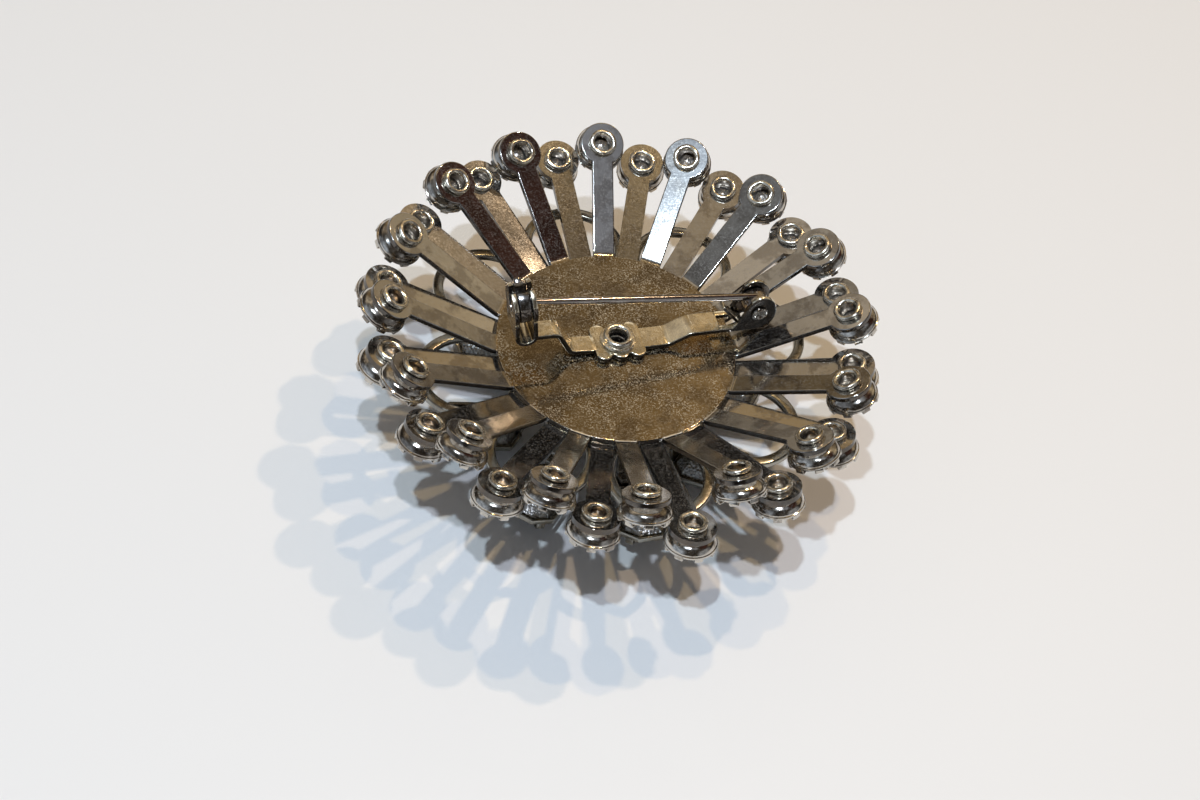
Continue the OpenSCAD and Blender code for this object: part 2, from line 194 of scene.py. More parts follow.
class BarSettings(bpy.types.PropertyGroup):
    """Sizes of the bar pin"""

    left_width: length("Left width", "Width of the bar towards the catch", 0.0021)
    right_width: length("Right width", "Width of the bar towards the hinge", 0.0026)
    stem_radius: length("Stem radius", "Radius of the pin stem", 0.0004)
    drum_radius: length("Drum radius", "Radius of the catch's drum", 0.002)


class FinishSettings(bpy.types.PropertyGroup):
    """Colours of the metals and the glass"""

    disc: tone("Disc", "Metal of the disc", (0.48, 0.4, 0.28))
    star: tone("Stars", "Metal of the arms", (0.6, 0.58, 0.55))
    dark: tone("Loops", "Metal of the loops and the claw frame", (0.34, 0.32, 0.27))
    cup: tone("Cups", "Metal of the cups and the rivet", (0.6, 0.56, 0.5))
    ring: tone("Rings", "Metal of the rolled rings", (0.88, 0.82, 0.7))
    bar: tone("Bar", "Metal of the pin bar", (0.97, 0.88, 0.68))
    # The cut edges' near-black colour is painted shade: it stands in for the dark reflections on the sheet's
    # sides.
    edge: tone("Cut edges", "Metal of the sheet's cut edges", (0.11, 0.1, 0.09))
    # The drum's dark colour is painted shade, for its place sunk between the catch's plates.
    drum: tone("Drum", "Metal of the catch's drum", (0.3, 0.29, 0.28))
    stem: tone("Stem", "Metal of the stem", (0.55, 0.5, 0.46))
    tarnish: tone("Tarnish", "Metal where it has gone dull", (0.14, 0.11, 0.085))
    dust: tone("Warm dust", "Specks on the golden metals", (0.66, 0.58, 0.45))
    grey_dust: tone("Grey dust", "Specks on the grey metals", (0.55, 0.53, 0.5))
    crystal: tone("Crystal", "Tint of the stones", (0.97, 0.98, 1.0))


class StageSettings(bpy.types.PropertyGroup):
    """The floor, the lamps and the room, and the seed of what is uneven"""

    floor: tone("Floor", "Colour of the floor", (0.8, 0.8, 0.8))
    lamps: FloatProperty(name="Lamps", description="Factor on the power of all the lamps", default=1.0, min=0)
    lamp_size: length("Lamp size", "Width of a lamp", 0.016)
    room: FloatProperty(name="Room", description="Brightness of the room", default=1.0, min=0)
    grain: IntProperty(name="Grain", description="Number that seeds the small irregularities", default=7)


# Shapes: each is an array of points and a list of arrays of faces


def mm(value):
    """A property in metres, as millimetres."""
    return value / MM


def grid(points, wrap_rows=False, wrap_columns=False):
    """Quads between the neighbouring rows and columns of an array of points, row by column by three."""
    rows, columns = points.shape[:2]
    number = np.arange(rows * columns).reshape(rows, columns)
    if wrap_rows:
        number = np.vstack([number, number[:1]])
    if wrap_columns:
        number = np.hstack([number, number[:, :1]])
    quads = np.stack([number[:-1, :-1], number[:-1, 1:], number[1:, 1:], number[1:, :-1]], axis=-1)
    return points.reshape(-1, 3), [quads.reshape(-1, 4)]


def with_caps(shell, rows, columns):
    """Closes a tube of rings with one many-sided face at its first and at its last ring."""
    points, faces = shell
    first = np.arange(columns)[None, ::-1]
    last = (rows - 1) * columns + np.arange(columns)[None]
    return points, faces + [first, last]


def join(shells):
    """One shell of several, with the point numbers of each moved past those before it."""
    points = []
    faces = []
    count = 0
    for shell_points, shell_faces in shells:
        points.append(shell_points)
        faces.extend(block + count for block in shell_faces)
        count += len(shell_points)
    return np.concatenate(points), faces


def place(shell, matrix):
    """Moves a shell by a 4 by 4 matrix: every point p becomes R p + t."""
    turn = np.array(matrix)
    points, faces = shell
    return points @ turn[:3, :3].T + turn[:3, 3], faces


def turn_z(angle):
    """Turn about Z, in radians."""
    return Matrix.Rotation(angle, 4, "Z")


def lathe(profile, steps=40, closed=True, wobble=None):
    """Turns a profile of radius and height round Z: (r cos a, r sin a, z). A closed profile makes a ring, and
    an open one starts and ends on the axis. wobble is a function of the angle that multiplies the radius."""
    radius, height = np.array(profile, float).T
    angle = np.arange(steps) * 2 * np.pi / steps
    swell = np.ones(steps) if wobble is None else wobble(angle)
    around = np.outer(radius, swell)
    points = np.stack(
        [around * np.cos(angle), around * np.sin(angle), np.repeat(height[:, None], steps, axis=1)], axis=-1
    )
    return grid(points, wrap_rows=closed, wrap_columns=True)


def arc(centre, radius, start, end, steps):
    """Points of an arc, from one angle to another in degrees: c + r (cos a, sin a)."""
    angle = np.radians(np.linspace(start, end, steps + 1))
    return [(centre[0] + radius * c, centre[1] + radius * s) for c, s in zip(np.cos(angle), np.sin(angle))]


def circle(radius, steps=72):
    """Points of a circle round the origin: r (cos a, sin a)."""
    angle = np.arange(steps) * 2 * np.pi / steps
    return radius * np.stack([np.cos(angle), np.sin(angle)], axis=-1)


def stand_up(line, side=0.0):
    """A line of distances and heights as points in the XZ plane, or at a distance to one side of it."""
    flat = np.array(line, float)
    return np.stack([flat[:, 0], np.full(len(flat), side), flat[:, 1]], axis=-1)


def eased_path(corners, radius, steps=5, closed=False):
    """A line through the corners with each one rounded: from r before it to r after it, along the parabola
    (1-t)^2 a + 2 t (1-t) c + t^2 b, where a and b are the points at that distance on its two sides."""
    corner = np.array(corners, float)
    before = np.roll(corner, 1, axis=0) - corner
    after = np.roll(corner, -1, axis=0) - corner
    reach_before = np.linalg.norm(before, axis=1, keepdims=True)
    reach_after = np.linalg.norm(after, axis=1, keepdims=True)
    start = corner + before / reach_before * np.minimum(radius, 0.45 * reach_before)
    end = corner + after / reach_after * np.minimum(radius, 0.45 * reach_after)
    t = np.linspace(0, 1, steps + 1)[None, :, None]
    curve = (1 - t) ** 2 * start[:, None] + 2 * t * (1 - t) * corner[:, None] + t**2 * end[:, None]
    if closed:
        return curve.reshape(-1, corner.shape[1])
    inner = curve[1:-1].reshape(-1, corner.shape[1])
    return np.concatenate([corner[:1], inner, corner[-1:]])


def finer(path, step):
    """The same line with points added so that none lies further from the next than step."""
    pieces = [
        np.linspace(a, b, max(1, math.ceil(np.linalg.norm(b - a) / step)), endpoint=False)
        for a, b in zip(path[:-1], path[1:])
    ]
    return np.concatenate(pieces + [path[-1:]])


def rounded_box(width, height, edge, steps=3):
    """Outline of a rectangle with round corners, anticlockwise from its right side."""
    outline = []
    for quarter, (sx, sy) in enumerate([(1, 1), (-1, 1), (-1, -1), (1, -1)]):
        centre = (sx * (width / 2 - edge), sy * (height / 2 - edge))
        outline += arc(centre, edge, 90 * quarter, 90 * quarter + 90, steps)
    return np.array(outline)


def sweep(path, across, width, height, edge=0.1, closed=False):
    """Carries a rounded box along a path. across is the unit vector that its width lies along, and its height
    lies along tangent x across. On an open path, three more rings at each end round it off: each stands
    e sin a further out and is e (1 - cos a) slimmer."""
    across = np.array(across, float)
    if closed:
        tangent = np.roll(path, -1, axis=0) - np.roll(path, 1, axis=0)
    else:
        tangent = np.gradient(path, axis=0)
    tangent /= np.linalg.norm(tangent, axis=1, keepdims=True)
    slim = np.zeros(len(path))
    if not closed:
        swing = np.radians([90, 60, 30])
        inner_head = path[0] + tangent[0] * edge
        inner_tail = path[-1] - tangent[-1] * edge
        head = path[0] + tangent[0] * (edge * (1 - np.sin(swing)))[:, None]
        tail = path[-1] - tangent[-1] * (edge * (1 - np.sin(swing[::-1])))[:, None]
        keep_from = np.linalg.norm(path - path[0], axis=1) > edge * 1.05
        keep_to = np.linalg.norm(path - path[-1], axis=1) > edge * 1.05
        keep = keep_from & keep_to
        slim = np.concatenate(
            [edge * (1 - np.cos(swing)), [0], np.zeros(keep.sum()), [0], edge * (1 - np.cos(swing[::-1]))]
        )
        path = np.concatenate([head, [inner_head], path[keep], [inner_tail], tail])
        tangent = np.concatenate([np.repeat(tangent[:1], 4, 0), tangent[keep], np.repeat(tangent[-1:], 4, 0)])
    up = np.cross(tangent, across)
    up /= np.linalg.norm(up, axis=1, keepdims=True)
    corner = rounded_box(2, height, min(edge, height / 2.01)) / (1, height / 2)
    half_width = width / 2 - slim
    half_height = np.maximum(height / 2 - slim, height * 0.05)
    inset = 1 - np.abs(corner[:, 0])
    side = np.sign(corner[:, 0]) * (half_width[:, None] - inset[None])
    rise = corner[:, 1] * half_height[:, None]
    points = path[:, None] + side[..., None] * across + rise[..., None] * up[:, None]
    shell = grid(points, wrap_rows=closed, wrap_columns=True)
    if closed:
        return shell
    return with_caps(shell, len(points), len(corner))


def outward(outline):
    """Unit normals of a closed outline that runs anticlockwise: its tangent turned by a quarter."""
    tangent = np.roll(outline, -1, axis=0) - np.roll(outline, 1, axis=0)
    normal = np.stack([tangent[:, 1], -tangent[:, 0]], axis=1)
    return normal / np.linalg.norm(normal, axis=1, keepdims=True)


def slab(outline, thickness, edge, hole, rings=3):
    """A flat plate round Z = 0 with a hole and a rounded rim. Its rows run from the hole over the top to the
    outline less the edge, round the rim as e sin a and e (1 - cos a), and back along the underside. hole is a
    radius about the origin or an outline of as many points."""
    middle = hole
    if np.ndim(hole) == 0:
        middle = hole * outline / np.linalg.norm(outline, axis=1, keepdims=True)
    normal = outward(outline)
    inner = outline - normal * edge
    share = np.linspace(0, 1, rings + 1)
    swing = np.radians([30, 60, 90])
    top = [middle * (1 - f) + inner * f for f in share]
    rim = [inner + normal * edge * math.sin(a) for a in swing]
    plan = top + rim + rim[::-1] + [inner, middle]
    height = [thickness / 2] * len(share)
    height += [thickness / 2 - edge * (1 - math.cos(a)) for a in swing]
    height += [edge * (1 - math.cos(a)) - thickness / 2 for a in swing[::-1]]
    height += [-thickness / 2, -thickness / 2]
    levels = np.repeat(np.array(height)[:, None], len(outline), axis=1)
    points = np.concatenate([np.array(plan), levels[..., None]], axis=-1)
    return grid(points, wrap_rows=True, wrap_columns=True)


def c_ring(inner, outer, slot, half, edge, steps=40):
    """A ring along X with a slot that opens towards +Z: the inner and the outer arc each run from one wall of
    the slot, down and round to the other, and a rounded box joins them. Each arc ends where y = slot."""
    lean_in = math.asin(min(1, slot / inner))
    lean_out = math.asin(slot / outer)
    share = np.linspace(0, 1, steps + 1)[:, None]
    angle_in = np.pi / 2 + lean_in + share * (2 * np.pi - 2 * lean_in)
    angle_out = np.pi / 2 + lean_out + share * (2 * np.pi - 2 * lean_out)
    low = inner * np.concatenate([np.cos(angle_in), np.sin(angle_in)], axis=1)
    high = outer * np.concatenate([np.cos(angle_out), np.sin(angle_out)], axis=1)
    section = rounded_box(2, 2 * half, edge)
    inset = (1 - np.abs(section[:, 0]))[None, :, None]
    reach = np.linalg.norm(high - low, axis=1)[:, None, None]
    way = (high - low)[:, None] / reach
    near = low[:, None] + way * inset
    far = high[:, None] - way * inset
    flat = np.where((section[:, 0] > 0)[None, :, None], far, near)
    along = np.broadcast_to(section[:, 1], flat.shape[:2])
    points = np.concatenate([along[..., None], flat], axis=-1)
    return with_caps(grid(points, wrap_columns=True), len(points), len(section))


# Making a piece of a shell


def new_mesh(name, shell, smooth=True, sharp=35):
    """A mesh of a shell in millimetres, with doubles merged, normals outwards and steep edges kept sharp."""
    points, faces = shell
    mesh = bpy.data.meshes.new(name)
    corners = [tuple(corner) for block in faces for corner in block.tolist()]
    mesh.from_pydata((points * MM).tolist(), [], corners)
    made = bmesh.new()
    made.from_mesh(mesh)
    bmesh.ops.remove_doubles(made, verts=made.verts, dist=2e-7)
    bmesh.ops.dissolve_degenerate(made, dist=1e-7, edges=made.edges)
    bmesh.ops.recalc_face_normals(made, faces=made.faces)
    made.to_mesh(mesh)
    made.free()
    mesh.polygons.foreach_set("use_smooth", np.full(len(mesh.polygons), smooth))
    if smooth:
        mesh.set_sharp_from_angle(angle=math.radians(sharp))
    mesh.update()
    return mesh


def add_piece(name, mesh, metals, nodes, body=BODY, even=True):
    """A mesh as a piece at the origin that rides on a body and stands for nodes of the frame, which it hides.
    """
    for metal_name in metals:
        mesh.materials.append(bpy.data.materials[metal_name])
    piece = bpy.data.objects.new(name, mesh)
    bpy.context.scene.collection.objects.link(piece)
    if even:
        weigh = piece.modifiers.new("Even shading", "WEIGHTED_NORMAL")
        weigh.keep_sharp = True
    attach(piece, body)
    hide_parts(*nodes)
    return piece


def new_piece(name, shell, metals, nodes, body=BODY, smooth=True, even=True, sharp=35):
    """One piece of a shell."""
    mesh = new_mesh(name, shell, smooth, sharp)
    return add_piece(name, mesh, metals, nodes, body, smooth and even)


def two_metals(name, first, second, metals, nodes):
    """One piece of two meshes, each with its own metal. The first mesh's faces come first."""
    made = bmesh.new()
    made.from_mesh(first)
    count = len(made.faces)
    made.from_mesh(second)
    made.faces.ensure_lookup_table()
    for face in made.faces[count:]:
        face.material_index = 1
    made.to_mesh(second)
    made.free()
    bpy.data.meshes.remove(first)
    return add_piece(name, second, metals, nodes)


def face_values(piece, key):
    """The centres or the normals of a piece's faces."""
    faces = piece.data.polygons
    values = np.zeros(len(faces) * 3)
    faces.foreach_get(key, values)
    return values.reshape(-1, 3)


def give_metals(piece, numbers):
    """Gives each face of a piece the metal of its number."""
    piece.data.polygons.foreach_set("material_index", numbers.astype(np.int32))


# Node groups and materials


# Height of the slow waves and of the dust's grain in a metal, against its hairlines' 1, which is MARK_DEPTH
WAVES = 14.0
GRAIN_HEIGHT = 0.7
MARK_DEPTH = 0.000006

# Grains of dust and facets of foil to a metre, and the scale of the dust's patches against that of the dust
GRAIN_SCALE = 10500.0
FOIL_SCALE = 3800.0
PATCH_SHARE = 0.06

# What clouds and dust add to a metal's roughness, and what dust adds to its metallic share of 1
CLOUD_ROUGHNESS = 0.04
DUST_ROUGHNESS = 0.15
DUST_METALLIC = -0.8

# The least and the most roughness along a metal's grain, against its own
GRAIN_ROUGHNESS = (0.65, 1.35)


def link(tree, kind, settings=None, **sockets):
    """Adds a node, sets its settings, and fills its sockets by name or by number with values or outputs."""
    made = tree.nodes.new(kind)
    for key, value in (settings or {}).items():
        setattr(made, key, value)
    for key, value in sockets.items():
        by_number = key[0] == "n" and key[1:].isdigit()
        socket = made.inputs[int(key[1:]) if by_number else key.replace("_", " ")]
        if isinstance(value, bpy.types.NodeSocket):
            tree.links.new(value, socket)
        else:
            socket.default_value = value
    return made


def maths(tree, operation, *values, clamp=False):
    """The result of an operation on numbers and outputs."""
    sockets = {f"n{position}": value for position, value in enumerate(values)}
    return link(tree, "ShaderNodeMath", {"operation": operation, "use_clamp": clamp}, **sockets).outputs[0]


def mix(tree, share, first, second, blend="MIX"):
    """Two colours mixed, or one multiplied by the other, by a share."""
    settings = {"data_type": "RGBA", "blend_type": blend}
    return link(tree, "ShaderNodeMix", settings, n0=share, n6=first, n7=second).outputs[2]


def ease(tree, value, low, high, to_low=0.0, to_high=1.0):
    """A value brought from one band to another along a smooth step."""
    return link(
        tree, "ShaderNodeMapRange", {"interpolation_type": "SMOOTHSTEP"},
        Value=value, From_Min=low, From_Max=high, To_Min=to_low, To_Max=to_high,
    ).outputs["Result"]


def noise(tree, spot, scale, detail, roughness=0.5):
    """Noise at a place, from 0 to 1."""
    made = link(tree, "ShaderNodeTexNoise", Vector=spot, Scale=scale, Detail=detail, Roughness=roughness)
    return made.outputs["Fac"]


def new_group(name, inputs, outputs):
    """A shader group with a socket of a kind for each label, the values it is given and those it puts out."""
    tree = bpy.data.node_groups.new(name, "ShaderNodeTree")
    for way, kinds in (("INPUT", inputs), ("OUTPUT", outputs)):
        for label, kind in kinds.items():
            tree.interface.new_socket(name=label, in_out=way, socket_type="NodeSocket" + kind)
    return tree, tree.nodes.new("NodeGroupInput").outputs, tree.nodes.new("NodeGroupOutput").inputs


def tarnish_group():
    """Soft clouds where a metal is dull: noise, cut to a band, mixes the clean colour with the dull one."""
    inputs = {"Vector": "Vector", "Scale": "Float", "Amount": "Float", "Clean": "Color", "Dull": "Color"}
    tree, given, put = new_group("Tarnish", inputs, {"Color": "Color", "Mask": "Float"})
    cloud = noise(tree, given["Vector"], given["Scale"], 5.0, 0.62)
    mask = maths(tree, "MULTIPLY", ease(tree, cloud, 0.46, 0.58), given["Amount"])
    tree.links.new(mix(tree, mask, given["Clean"], given["Dull"]), put["Color"])
    tree.links.new(mask, put["Mask"])


def speck_group():
    """Pits and dust: fine noise and single grains above a limit, thinned out by a coarser noise."""
    inputs = {"Vector": "Vector", "Scale": "Float", "Limit": "Float", "Patches": "Float"}
    tree, given, put = new_group("Specks", inputs, {"Mask": "Float", "Grain": "Float"})
    fine = noise(tree, given["Vector"], given["Scale"], 5.0, 0.85)
    over = maths(tree, "SUBTRACT", fine, given["Limit"])
    cells = link(tree, "ShaderNodeTexVoronoi", Vector=given["Vector"], Scale=GRAIN_SCALE)
    pick = link(tree, "ShaderNodeSeparateColor", n0=cells.outputs["Color"])
    spot = ease(tree, maths(tree, "MULTIPLY_ADD", pick.outputs[0], 0.3, over), 0.15, 0.21)
    slow = noise(tree, given["Vector"], given["Patches"], 4.0, 0.65)
    tree.links.new(maths(tree, "MULTIPLY", spot, ease(tree, slow, 0.4, 0.6, 0.5, 1.0)), put["Mask"])
    tree.links.new(fine, put["Grain"])


def hairline_group():
    """Fine scratches: noise drawn out along one direction, as a height."""
    tree, given, put = new_group("Hairlines", {"Vector": "Vector", "Turn": "Vector"}, {"Height": "Float"})
    drawn = link(
        tree, "ShaderNodeMapping", Vector=given["Vector"], Rotation=given["Turn"], Scale=(150, 5200, 900)
    )
    tree.links.new(noise(tree, drawn.outputs[0], 1.0, 3.0, 0.6), put["Height"])


def group_node(tree, name, **sockets):
    """Puts a shared group into a material with its own values, and gives its outputs."""
    return link(tree, "ShaderNodeGroup", {"node_tree": bpy.data.node_groups[name]}, **sockets).outputs


def new_material(name):
    """A material, its tree and its shader."""
    material = bpy.data.materials.new(name)
    material.use_nodes = True
    tree = material.node_tree
    return material, tree, tree.nodes["Principled BSDF"]


def metal(name, colour, dull, roughness, pale, cloud, specks, bump):
    """A polished, worn metal. Clouds of tarnish, a scale and an amount, darken and roughen it. Specks, an
    amount, a limit and a scale, are pale matt dust and pits. Hairlines, the dust's grain and slow waves tilt
    its normal."""
    material, tree, shader = new_material(name)
    material.diffuse_color = (*colour, 1)
    spot = link(tree, "ShaderNodeTexCoord").outputs["Object"]
    cloud_scale, cloud_amount = cloud
    speck_amount, limit, speck_scale = specks
    clouds = group_node(
        tree, "Tarnish", Vector=spot, Scale=cloud_scale, Amount=cloud_amount,
        Clean=(*colour, 1), Dull=(*dull, 1),
    )
    patches = speck_scale * PATCH_SHARE
    dust = group_node(tree, "Specks", Vector=spot, Scale=speck_scale, Limit=limit, Patches=patches)
    amount = maths(tree, "MULTIPLY", dust["Mask"], speck_amount)
    tree.links.new(mix(tree, amount, clouds["Color"], (*pale, 1)), shader.inputs["Base Color"])
    tree.links.new(maths(tree, "MULTIPLY_ADD", amount, DUST_METALLIC, 1.0), shader.inputs["Metallic"])
    grain = link(
        tree, "ShaderNodeMapRange", Value=dust["Grain"], From_Min=0.3, From_Max=0.7,
        To_Min=roughness * GRAIN_ROUGHNESS[0], To_Max=roughness * GRAIN_ROUGHNESS[1],
    )
    clouded = maths(tree, "MULTIPLY_ADD", clouds["Mask"], CLOUD_ROUGHNESS, grain.outputs["Result"])
    rough = maths(tree, "MULTIPLY_ADD", amount, DUST_ROUGHNESS, clouded, clamp=True)
    tree.links.new(rough, shader.inputs["Roughness"])
    lines = group_node(tree, "Hairlines", Vector=spot, Turn=(0.3, 0.2, 0.6))["Height"]
    crossed = group_node(tree, "Hairlines", Vector=spot, Turn=(0.1, 0.5, -0.9))["Height"]
    marks = maths(tree, "MULTIPLY_ADD", dust["Grain"], GRAIN_HEIGHT, maths(tree, "ADD", lines, crossed))
    height = maths(tree, "MULTIPLY_ADD", noise(tree, spot, cloud_scale * 1.4, 2.0), WAVES, marks)
    rise = link(tree, "ShaderNodeBump", Height=height, Strength=bump, Distance=MARK_DEPTH)
    tree.links.new(rise.outputs["Normal"], shader.inputs["Normal"])


def foil(name, colour, roughness, glitter):
    """The foil behind a stone: metal crumpled into tiny facets, each with its own tilt. Its colour darkens in
    each facet's hollow and lightens towards its rim, following the facets' height: painted shade and sheen.
    """
    _, tree, shader = new_material(name)
    spot = link(tree, "ShaderNodeTexCoord").outputs["Object"]
    cells = link(tree, "ShaderNodeTexVoronoi", Vector=spot, Scale=FOIL_SCALE).outputs["Distance"]
    # shade darkens each facet's hollow and lightens its rim: painted shade and sheen.
    shade = link(tree, "ShaderNodeMapRange", Value=cells, From_Max=0.7, To_Min=0.55, To_Max=1.1)
    tint = mix(tree, 1.0, (*colour, 1), shade.outputs["Result"], "MULTIPLY")
    tree.links.new(tint, shader.inputs["Base Color"])
    rise = link(tree, "ShaderNodeBump", Height=cells, Strength=glitter, Distance=0.00008)
    tree.links.new(rise.outputs["Normal"], shader.inputs["Normal"])
    shader.inputs["Metallic"].default_value = 1.0
    shader.inputs["Roughness"].default_value = roughness


def crystal(name, colour):
    """Cut glass of a leaded kind."""
    shader = new_material(name)[2]
    shader.inputs["Base Color"].default_value = (*colour, 1)
    shader.inputs["Roughness"].default_value = 0.02
    shader.inputs["IOR"].default_value = 1.56
    shader.inputs["Transmission Weight"].default_value = 1.0


# The metals: the properties that hold their colour and their dust's, roughness, the clouds' scale and amount,
# the specks' amount, limit and scale, and the strength of the marks
METALS = (
    ("disc", "dust", 0.1, (230, 0.5), (0.55, 0.555, 5400), 0.2),
    ("star", "grey_dust", 0.1, (330, 0.45), (0.2, 0.56, 5400), 0.16),
    ("dark", "grey_dust", 0.2, (260, 0.5), (0.18, 0.54, 2600), 0.2),
    ("cup", "grey_dust", 0.11, (480, 0.7), (0.14, 0.55, 2800), 0.2),
    ("ring", "dust", 0.2, (700, 0.55), (0.25, 0.54, 2800), 0.25),
    ("bar", "dust", 0.18, (420, 0.3), (0.2, 0.54, 5400), 0.28),
    # The edge metal's near-black is painted shade, for the dark reflections on cut edges and upright faces.
    ("edge", "grey_dust", 0.16, (500, 0.5), (0.12, 0.55, 2600), 0.25),
    # The drum's dark metal is painted shade of its recess between the catch's plates.
    ("drum", "grey_dust", 0.16, (500, 0.7), (0.15, 0.54, 2600), 0.2),
    ("stem", "grey_dust", 0.12, (500, 0.3), (0.12, 0.55, 2600), 0.15),
)


class BROOCH_OT_finishes(bpy.types.Operator):
    """Makes the shared groups and the metals, foils and glass"""

    bl_idname = "brooch.finishes"
    bl_label = "Make the finishes"

    def execute(self, context):
        finish = context.scene.brooch_finish
        tarnish_group()
        speck_group()
        hairline_group()
        dull = tuple(finish.tarnish)
        for name, dust, roughness, cloud, specks, bump in METALS:
            colour = tuple(getattr(finish, name))
            pale = tuple(getattr(finish, dust))
            metal(name + "_plating", colour, dull, roughness, pale, cloud, specks, bump)
        crystal("crystal_glass", tuple(finish.crystal))
        foil("crystal_foil", (0.72, 0.66, 0.6), 0.4, 0.6)
        foil("petal_foil", (0.42, 0.41, 0.39), 0.32, 1.0)
        return {"FINISHED"}


# The stars


# A star's name, the direction of its first arm, its middle height, its slope, and its bent and twisted arms
Row = namedtuple("Row", "name phase mid rise bent twists")


def star_rows(context):
    """The arms of the back star and of the middle star."""
    star = context.scene.brooch_star
    return (
        Row("upper", UPPER_PHASE, BACK_MID, star.upper_rise, UPPER_BENT, UPPER_TWIST),
        Row("lower", LOWER_PHASE, STAR_MID, star.lower_rise, LOWER_BENT, LOWER_TWIST),
    )


def arm_way(row, number):
    """An arm's direction and its slope, in radians."""
    extra, swing = row.bent.get(number, (0, 0))
    turn = math.radians(row.phase - ARM_PITCH * (number - 1)) + math.radians(swing)
    return turn, row.rise + math.radians(extra)


def pad_matrix(row, number, run):
    """Frame at the middle of an arm's pad, with X outwards and Z along the pad's normal."""
    turn, slope = arm_way(row, number)
    twist = Matrix.Rotation(math.radians(row.twists.get(number, 0)), 4, "X")
    root = turn_z(turn) @ Matrix.Translation((ROOT_R, 0, row.mid + BEND_R)) @ Matrix.Rotation(-slope, 4, "Y")
    return root @ Matrix.Translation((run, 0, -BEND_R)) @ twist


def on_arm(along, side, rise, mid):
    """Points of an arm's middle surface, from their length s along the arm past the root. On the bend they
    stand at root + b sin(s/b), mid + b (1 - cos(s/b)), and past it on the straight slope."""
    bend = np.clip(along / BEND_R, 0, rise)
    rest = np.maximum(along - rise * BEND_R, 0)
    out = ROOT_R + BEND_R * np.sin(bend) + rest * math.cos(rise) + np.minimum(along, 0)
    up = mid + BEND_R * (1 - np.cos(bend)) + rest * math.sin(rise)
    return np.stack([out, side, up], axis=-1)


# Lines of points along an arm, and points round its pad
ARM_LINES = 7
PAD_POINTS = 45


def root_line(across, disc_r):
    """Where an arm's lines leave the disc's rim: their distances from the middle and their rises."""
    out = np.sqrt(disc_r**2 - across**2)
    return out, BEND_R - np.sqrt(BEND_R**2 - (out - ROOT_R) ** 2)


def arm_shell(row, number, across, disc_r, pad_r, run):
    """One arm along X: a grid from the disc's rim to the pad, and a ring of quads for the pad round its hole.
    A twist t raises a point by y tan(t) s, where s eases from 0 at the bend to 1 at a third of the arm."""
    slope = arm_way(row, number)[1]
    lean = math.tan(math.radians(row.twists.get(number, 0)))
    out, up = root_line(across, disc_r)
    root = np.stack([out, across, row.mid + up], axis=-1)
    straight = slope * BEND_R
    chord = math.sqrt(pad_r**2 - across[-1] ** 2)
    far = straight + run - chord
    bend = np.linspace(0.3, straight, 6)
    rows = np.concatenate([bend, [straight + 0.25], np.linspace(straight + 1, far - 0.3, 5), [far]])
    strip = on_arm(*np.meshgrid(rows, across, indexing="ij"), slope, row.mid)
    share = np.clip(3 * (rows - straight) / (far - straight), 0, 1)
    strip[..., 2] += np.outer(share**2 * (3 - 2 * share), across) * lean
    corner = math.asin(across[-1] / pad_r)
    round_part = np.linspace(np.pi - corner, corner - np.pi, PAD_POINTS)
    rim = np.stack([pad_r * np.cos(round_part), pad_r * np.sin(round_part)], axis=-1)
    join_part = np.stack([np.full(ARM_LINES - 2, -chord), across[1:-1]], axis=-1)
    rim = np.concatenate([rim, join_part])
    hole = rim / np.linalg.norm(rim, axis=1, keepdims=True) * (TUBE_R + GAP)
    share = np.array([0, 0.35, 0.8, 1])[:, None, None]
    flat = hole[None] * (1 - share) + rim[None] * share
    pad = on_arm(straight + run + flat[..., 0], flat[..., 1], slope, row.mid)
    pad[..., 2] += flat[..., 1] * lean
    return join([grid(np.concatenate([root[None], strip])), grid(pad, wrap_columns=True)])


def star_sheet(row, disc_r, arm_w, pad_r, run):
    """Middle surface of a star: its arms with their pads, in two blocks of faces each, and last the rings of
    the disc. They share their border points, so that merging doubles makes them one sheet."""
    across = np.linspace(-arm_w / 2, arm_w / 2, ARM_LINES)
    spread = np.arcsin(across / disc_r)
    root_up = root_line(across, disc_r)[1]
    turns = sorted((arm_way(row, number)[0], number) for number in range(1, ARM_COUNT + 1))
    pieces = []
    ring = []
    lift = []
    for place_in_row, (turn, number) in enumerate(turns):
        pieces.append(place(arm_shell(row, number, across, disc_r, pad_r, run), turn_z(turn)))
        last = place_in_row == ARM_COUNT - 1
        next_turn = turns[0][0] + 2 * np.pi if last else turns[place_in_row + 1][0]
        between = np.linspace(turn + spread[-1], next_turn + spread[0], ARM_LINES)[1:-1]
        ring += [*(turn + spread), *between]
        lift += [*root_up, *np.zeros(len(between))]
    angle = np.array(ring)
    up = np.array(lift)
    rings = []
    for r, share in ((RIVET_R + GAP, 0), (4, 0), (8, 0), (11, 0), (disc_r - 0.35, 0), (disc_r, 1)):
        rings.append(np.stack([r * np.cos(angle), r * np.sin(angle), row.mid + share * up], axis=-1))
    pieces.append(grid(np.array(rings), wrap_columns=True))
    return join(pieces)


